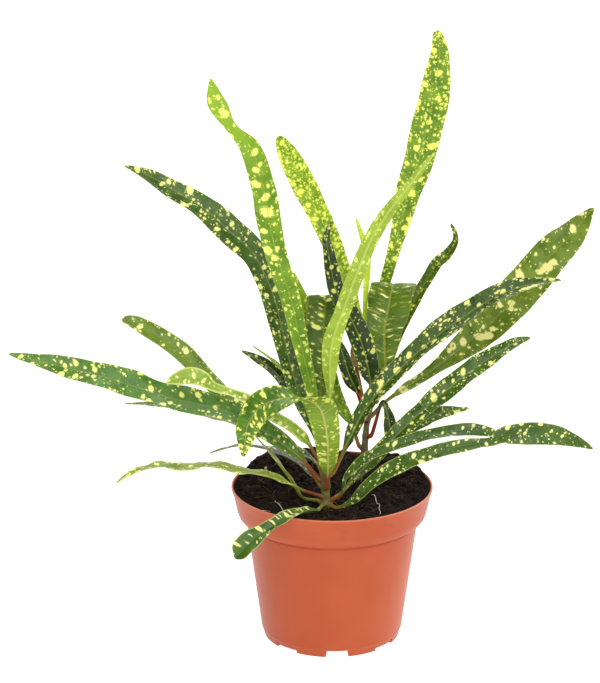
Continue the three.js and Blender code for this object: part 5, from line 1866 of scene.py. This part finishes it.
@dataclass
class Leaf:
    """Builds one leaf: stalk, grooved midrib, quilted waved blade and thin rims. Millimetres."""

    spec: LeafSpec
    stem: StemShape
    number: int

    COLUMNS = 12  # columns each side of the midrib
    STALK_STEP = 0.9  # spacing of the rings
    BLADE_STEP = 1.15
    TIP_REACH = 2.2  # where the rings draw close, and their places from the tip
    TIP_RINGS = (0.8, 0.55, 0.34, 0.18, 0.07, 0.0)
    STALK_RADIUS = 1.2
    STALK_SWELLING = 0.28  # at its foot, as a share of the radius
    STALK_TAPER = 0.12
    STALK_GROOVE = 0.2
    STALK_GAP = 0.6  # between its foot and its stem
    KNEE_OUT = 1.6  # how far it goes straight out, and how much it rises there
    KNEE_UP = 1.2
    STALK_END = 0.1  # where it has turned in to the blade, as a share of the blade
    ROOT_DEPTH = 1.5  # how far the stalk reaches back in to its stem
    THICKNESS = 0.62
    RIM_THICKNESS = 0.26
    RIB_DEPTH = 0.75  # how far the midrib stands out below
    GROOVE = 0.4  # and how far it is sunk above
    RIB_HALF_WIDTH = 0.85
    RIB_THINNING = 0.75  # how much less of it there is at the tip
    EDGE_LAG = 2.2  # by which the waves of the two edges differ, in radians
    CALM_HALF_WIDTH = 4.0  # blades with less than this are less wavy
    SECOND_WAVE = (0.3, 2.37)  # height and number of the smaller waves, as shares
    BELLY = 0.03  # how far each half bulges, as a share of its width
    VEIN_SPACING = 5.4
    VEIN_LEAN = math.radians(74)  # angle between the side veins and the midrib
    QUILT = 0.06  # height of the swelling between side veins
    WANDER = 0.035  # unevenness of the outline, as a share of the width
    OWN_PLACE = 61.0  # how far apart the leaves lie in their finish's pattern
    OTHER_HALF = 23.0  # and the two halves of one leaf
    WELL_INSIDE = 9.0  # distance from a rim that the stalk is given

    def midrib(self) -> tuple[Path, Array]:
        """The midrib's curve and the direction in which the stalk leaves the stem."""
        centre, radius = self.stem.at_height(self.spec.foot)
        route = np.array(self.spec.route, float)
        outward = (route[0] - centre) * (1, 1, 0)
        outward /= np.linalg.norm(outward)
        foot = centre + outward * (radius + self.STALK_GAP)
        knee = foot + outward * self.KNEE_OUT + (0, 0, self.KNEE_UP)
        return Path(np.vstack([foot, knee, route])), outward

    def columns(self) -> Array:
        """Places across the blade from -1 at the left rim to 1, closer at the midrib and rims."""
        half = (np.arange(1, self.COLUMNS) / (self.COLUMNS - 0.6)) ** 1.3
        half = np.concatenate([half, [0.985, 1.0]])
        return np.concatenate([-half[::-1], [0], half])

    def _ring_places(self, path: Path) -> Array:
        """Distances of the rings along the midrib, closer at the tip.

        Args:
            path: the midrib.

        Returns:
            The distances, from the foot of the stalk to the tip.
        """
        stalk = self.spec.stalk
        stalk_rings = np.linspace(0, stalk, max(4, round(stalk / self.STALK_STEP)))
        count = round((path.length - stalk) / self.BLADE_STEP)
        blade_rings = np.linspace(stalk, path.length, count)[1:-2]
        tip_rings = path.length - self.TIP_REACH * np.array(self.TIP_RINGS)
        return np.concatenate([stalk_rings, np.sort(np.concatenate([blade_rings, tip_rings]))])

    def _axes(
        self, path: Path, outward: Array, distance: Array
    ) -> tuple[Array, Array, Array]:
        """The middle of each ring and the two directions that it is drawn along.

        Args:
            path: the midrib.
            outward: the direction in which the stalk leaves the stem.
            distance: places of the rings along the midrib.

        Returns:
            Middles, directions to the right and directions out of the upper face, with one more
            ring in front, inside the stem.
        """
        tangent = path.direction(distance)
        tangent[0] = outward
        facing = read_evenly(self.spec.upper, distance / path.length)
        facing[0] = (0, 0, 1)
        up = facing - tangent * np.sum(facing * tangent, axis=1, keepdims=True)
        up /= np.linalg.norm(up, axis=1, keepdims=True)
        across = np.cross(tangent, up)
        middle = path.at(distance)
        root = middle[:1] - outward * self.ROOT_DEPTH
        return (
            np.vstack([root, middle]), np.vstack([across[:1], across]), np.vstack([up[:1], up])
        )

    def _stalk(self, distance: Array, s: Array) -> tuple[Array, ...]:
        """The stalk's section, grooved above and swollen at its foot.

        Args:
            distance: places of the rings along the midrib.
            s: places across, from -1 to 1.

        Returns:
            Places to the right, of the upper side and of the lower side.
        """
        swelling = 1 + self.STALK_SWELLING * np.exp(-((distance / 2.2) ** 2))
        taper = 1 - self.STALK_TAPER * smoothstep(distance, 0, self.spec.stalk)
        radius = (self.STALK_RADIUS * swelling * taper)[:, None]
        turn = s * math.pi / 2
        groove = 0.86 - self.STALK_GROOVE * np.exp(-((s / 0.3) ** 2))
        return radius * np.sin(turn), radius * np.cos(turn) * groove, -radius * np.cos(turn)

    def build(self) -> Piece:
        """Builds and dresses the leaf.

        Returns:
            The finished leaf.
        """
        spec = self.spec
        path, outward = self.midrib()
        blade_length = path.length - spec.stalk
        distance = self._ring_places(path)
        along = np.clip((distance - spec.stalk) / blade_length, 0, 1)
        centre, across, up = self._axes(path, outward, distance)
        along, distance = np.append(0.0, along), np.append(-self.ROOT_DEPTH, distance)

        blade = smoothstep(along, 0, self.STALK_END)[:, None]
        half = self._half_width(along, path.length - distance)
        s = self.columns()
        half_here = half[:, np.where(s < 0, 0, 1)]
        width = half_here * np.abs(s)
        v = (distance - spec.stalk)[:, None]
        middle = self._middle(along, half_here, s, width, v)
        rib_taper = (1 - self.RIB_THINNING * along)[:, None]
        rib_shape = np.exp(-((width / (self.RIB_HALF_WIDTH * rib_taper + 0.15)) ** 2))
        thinner = (self.RIM_THICKNESS - self.THICKNESS) * np.abs(s) ** 1.5
        thickness = self.THICKNESS + thinner
        above = middle + thickness / 2 - self.GROOVE * rib_taper * rib_shape
        below = middle - thickness / 2 - self.RIB_DEPTH * rib_taper * rib_shape

        stalk_x, stalk_above, stalk_below = self._stalk(distance, s)
        x = stalk_x + (np.sign(s) * width - stalk_x) * blade
        top = stalk_above + (above - stalk_above) * blade
        bottom = stalk_below + (below - stalk_below) * blade
        ring_x = self._round(x, x)
        ring_z = self._round(top, bottom)
        points = (
            centre[:, None] + across[:, None] * ring_x[..., None] + up[:, None] * ring_z[..., None]
        )
        sides = points.shape[1]
        faces = [face[::-1] for face in tube_faces(len(points), sides)]
        piece = new_piece(f"{spec.name}_leaf", points.reshape(-1, 3), faces)

        columns, rows = len(s), len(points)
        under = np.concatenate([np.zeros(columns), np.ones(sides - columns)])
        under[[0, columns - 1]] = 0.5
        spread = self._round(width, width)
        rim = self._round(half_here, half_here) - spread
        add_values(piece, "under", np.tile(under, rows))
        add_values(piece, "rib", spread)
        add_values(piece, "rim", rim * blade + self.WELL_INSIDE * (1 - blade))
        add_values(piece, "stalk", np.repeat(1 - smoothstep(along, 0.0, 0.07), sides))
        add_values(piece, "along", np.repeat(along, sides))
        for kind, spots in (("blot", spec.blots), ("brown", spec.brown)):
            add_values(piece, kind, self._spots(spots, ring_x, distance, blade_length))
        add_values(piece, "blush", np.full(rows * sides, spec.blush))
        self._add_maps(piece, ring_x, distance, sides)
        piece.data.materials.append(self.look_material(spec.look))
        keep_piece(piece, spec.look.value.slot, f"leaf_{spec.name}")
        return piece

    @staticmethod
    def _round(upper: Array, lower: Array) -> Array:
        """Values all round each ring: over the upper face, then back below."""
        return np.concatenate([upper, lower[:, -2:0:-1]], axis=1)

    def _spots(
        self, spots: tuple[Point, ...], ring_x: Array, distance: Array, length: float
    ) -> Array:
        """How deep inside the leaf's own spots each point is.

        Args:
            spots: the spots of one kind.
            ring_x: how far each point is to the right of the midrib.
            distance: places of the rings along the midrib.
            length: the blade's length.

        Returns:
            1 at the middle of a spot, 0 at its edge and less outside.
        """
        v = (distance - self.spec.stalk)[:, None]
        longer = 1.1 * self.spec.look.value.stretch ** 0.4
        depth = np.full(ring_x.shape, -2.0)
        for along, across, radius in spots:
            aside = ring_x - across
            slip = v - along * length - np.sign(across) * aside / math.tan(self.VEIN_LEAN)
            depth = np.maximum(depth, 1 - np.hypot(aside / longer, slip * longer) / radius)
        return depth

    def _half_width(self, along: Array, to_tip: Array) -> Array:
        """Half the blade's width, uneven and rounded at the tip.

        Args:
            along: how far along the blade each ring is, from 0 to 1.
            to_tip: how far it is from the tip.

        Returns:
            One row for each ring, left and right.
        """
        widths = read_evenly(self.spec.widths, along)
        last = self.spec.widths[-1]
        blunt = max(last * 0.6, 1.6)
        share = np.clip(1 - to_tip / blunt, 0, 1)
        rounding = np.sqrt(np.clip(1 - share ** 2, 0.0025, 1))
        halves = []
        for offset in (0.0, 50.0):
            wander = [fractal((a * 9, offset, self.number * 7.0), 1.0, 2) for a in along]
            halves.append(widths / 2 * rounding * (1 + self.WANDER * np.array(wander)))
        return np.stack(halves, axis=1)

    def _middle(
        self, along: Array, reach: Array, s: Array, width: Array, v: Array
    ) -> Array:
        """Height of the blade's middle surface: fold, waves and quilting between side veins.

        Args:
            along: how far along the blade each ring is, from 0 to 1.
            reach: half the blade's width at each point's own side.
            s: places across, from -1 to 1.
            width: how far each point is from the midrib.
            v: how far each ring is from the blade's start.

        Returns:
            The height at each point.
        """
        spec = self.spec
        lift = reach * math.tan(math.radians(spec.fold)) * np.abs(s) ** 1.15
        calm = np.minimum(1, reach / self.CALM_HALF_WIDTH)
        lag = np.where(s < 0, 0, self.EDGE_LAG)
        phase = along[:, None] * spec.waves * 2 * math.pi + spec.foot + lag
        height, times = self.SECOND_WAVE
        second = height * np.sin(phase * times + self.number)
        sway = spec.wave * calm * (np.sin(phase) + second) * np.abs(s) ** 1.5
        bulge = np.sin(np.abs(s) * math.pi)
        belly = self.BELLY * reach * bulge
        between = (v - width / math.tan(self.VEIN_LEAN)) / self.VEIN_SPACING
        quilt = -self.QUILT * np.cos(2 * math.pi * between) * bulge ** 0.7 * calm
        return lift + sway + belly + quilt

    def _add_maps(
        self, piece: Piece, ring_x: Array, distance: Array, sides: int
    ) -> None:
        """Adds the map of the flat blade and the map that follows its side veins.

        Args:
            piece: the leaf.
            ring_x: how far each point is to the right of the midrib.
            distance: places of the rings along the midrib.
            sides: points in a ring.
        """
        mesh = piece.data
        corners = np.empty(len(mesh.loops), int)
        mesh.loops.foreach_get("vertex_index", corners)
        totals = np.empty(len(mesh.polygons), int)
        mesh.polygons.foreach_get("loop_total", totals)
        face_of = np.repeat(np.arange(len(totals)), totals)
        u = ring_x.reshape(-1)[corners]
        v = np.repeat(distance - self.spec.stalk, sides)[corners]
        middles = np.bincount(face_of, weights=u) / totals
        right = (middles > 0)[face_of]
        own_place = self.OWN_PLACE * self.number
        add_map(piece, "blade", np.column_stack([u + own_place, v]))
        away = np.abs(u)
        shift = own_place + np.where(right, self.OTHER_HALF, 0)
        along_vein = away / math.sin(self.VEIN_LEAN) + shift
        between = v - away / math.tan(self.VEIN_LEAN)
        add_map(piece, "veins", np.column_stack([along_vein, between]))

    @staticmethod
    def look_material(look: Look) -> Material:
        """The material of a look, made once."""
        return bpy.data.materials.get(look.value.name) or look.value.material()


# ---- studio


@dataclass
class Studio:
    """A pale floor, soft light and the camera at the photograph's viewing angle. Metres."""

    target: Point = (-0.01907, 0.0, 0.18302)
    camera_distance: float = 1.5521
    camera_pitch: float = 17.565
    focal_pixels: float = 2653.9
    picture_height: int = 683
    sensor: float = 36.0
    floor_size: float = 60.0
    world_strength: float = 0.25
    floor: PlainFinish = PlainFinish(
        "pale_floor", dark=(162, 161, 160), light=(166, 165, 164), patch=0.4, grain=0.002,
        relief=0.0, rough=(0.8, 0.9), shine=0.1, glow=0.95,
    )
    # the soft lights: name, where from, how wide in degrees, watts a square metre
    suns: tuple[tuple[str, Point, float, float], ...] = (
        ("front", (0.12, -0.85, 0.7), 48, 2.0),
        ("right", (1.0, 0.4, 0.5), 40, 1.3),
        ("back", (-0.1, 0.85, 1.0), 70, 2.4),
    )

    def build(self) -> None:
        """Sets up the floor, the light and the camera."""
        self._floor()
        self._camera()
        for sun in self.suns:
            self._sun(*sun)
        world = bpy.data.worlds.new("studio_white")
        bpy.context.scene.world = world
        world.use_nodes = True
        background = world.node_tree.nodes["Background"]
        background.inputs["Color"].default_value = (1.0, 1.0, 1.0, 1.0)
        background.inputs["Strength"].default_value = self.world_strength
        bpy.context.scene.view_settings.view_transform = "Standard"

    def _floor(self) -> None:
        """A wide pale floor."""
        half = self.floor_size / 2 / MM
        square = np.array([(-1, -1, 0), (1, -1, 0), (1, 1, 0), (-1, 1, 0)]) * half
        floor = new_piece("floor", square, [(0, 1, 2, 3)], smooth=False)
        floor.data.materials.append(self.floor.material())
        floor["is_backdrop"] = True

    def _camera(self) -> None:
        """The camera, looking slightly down at the plant."""
        lens = bpy.data.cameras.new("camera")
        lens.sensor_width = self.sensor
        lens.lens = self.focal_pixels * self.sensor / self.picture_height
        lens.clip_start, lens.clip_end = 0.05, 100.0
        camera = bpy.data.objects.new("camera", lens)
        pitch = math.radians(self.camera_pitch)
        back = Vector((0, -math.cos(pitch), math.sin(pitch)))
        camera.location = Vector(self.target) + back * self.camera_distance
        camera.rotation_euler = (-back).to_track_quat("-Z", "Y").to_euler()
        bpy.context.scene.collection.objects.link(camera)
        bpy.context.scene.camera = camera

    def _sun(self, name: str, towards: Point, spread: float, strength: float) -> None:
        """A wide soft light from one direction.

        Args:
            name: the light's name.
            towards: where the light comes from, seen from the plant.
            spread: how wide the light is in degrees.
            strength: its strength in watts a square metre.
        """
        lamp = bpy.data.lights.new(name, "SUN")
        lamp.angle = math.radians(spread)
        lamp.energy = strength
        light = bpy.data.objects.new(name, lamp)
        light.rotation_euler = (-Vector(towards)).to_track_quat("-Z", "Y").to_euler()
        bpy.context.scene.collection.objects.link(light)


# ---- the whole plant


def corners(box: tuple[Vector, Vector]) -> list[list[float]]:
    """A box as plain lists."""
    return [list(corner) for corner in box]


def main() -> None:
    """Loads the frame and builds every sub-assembly in order."""
    logging.basicConfig(level=logging.INFO, format="%(name)s: %(message)s")
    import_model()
    frame_box = corners(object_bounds())
    Studio().build()
    pot = Pot()
    pot.build()
    Soil(pot).build()
    stems = both_stems()
    for spec in LEAVES:
        stems[spec.stem].feet.append(spec.foot)
    for stem in stems.values():
        stem.build()
    for number, spec in enumerate(LEAVES):
        Leaf(spec, stems[spec.stem], number).build()
    {"frame": frame_box, "visual": corners(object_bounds())}


if __name__ == "__main__":
    main()
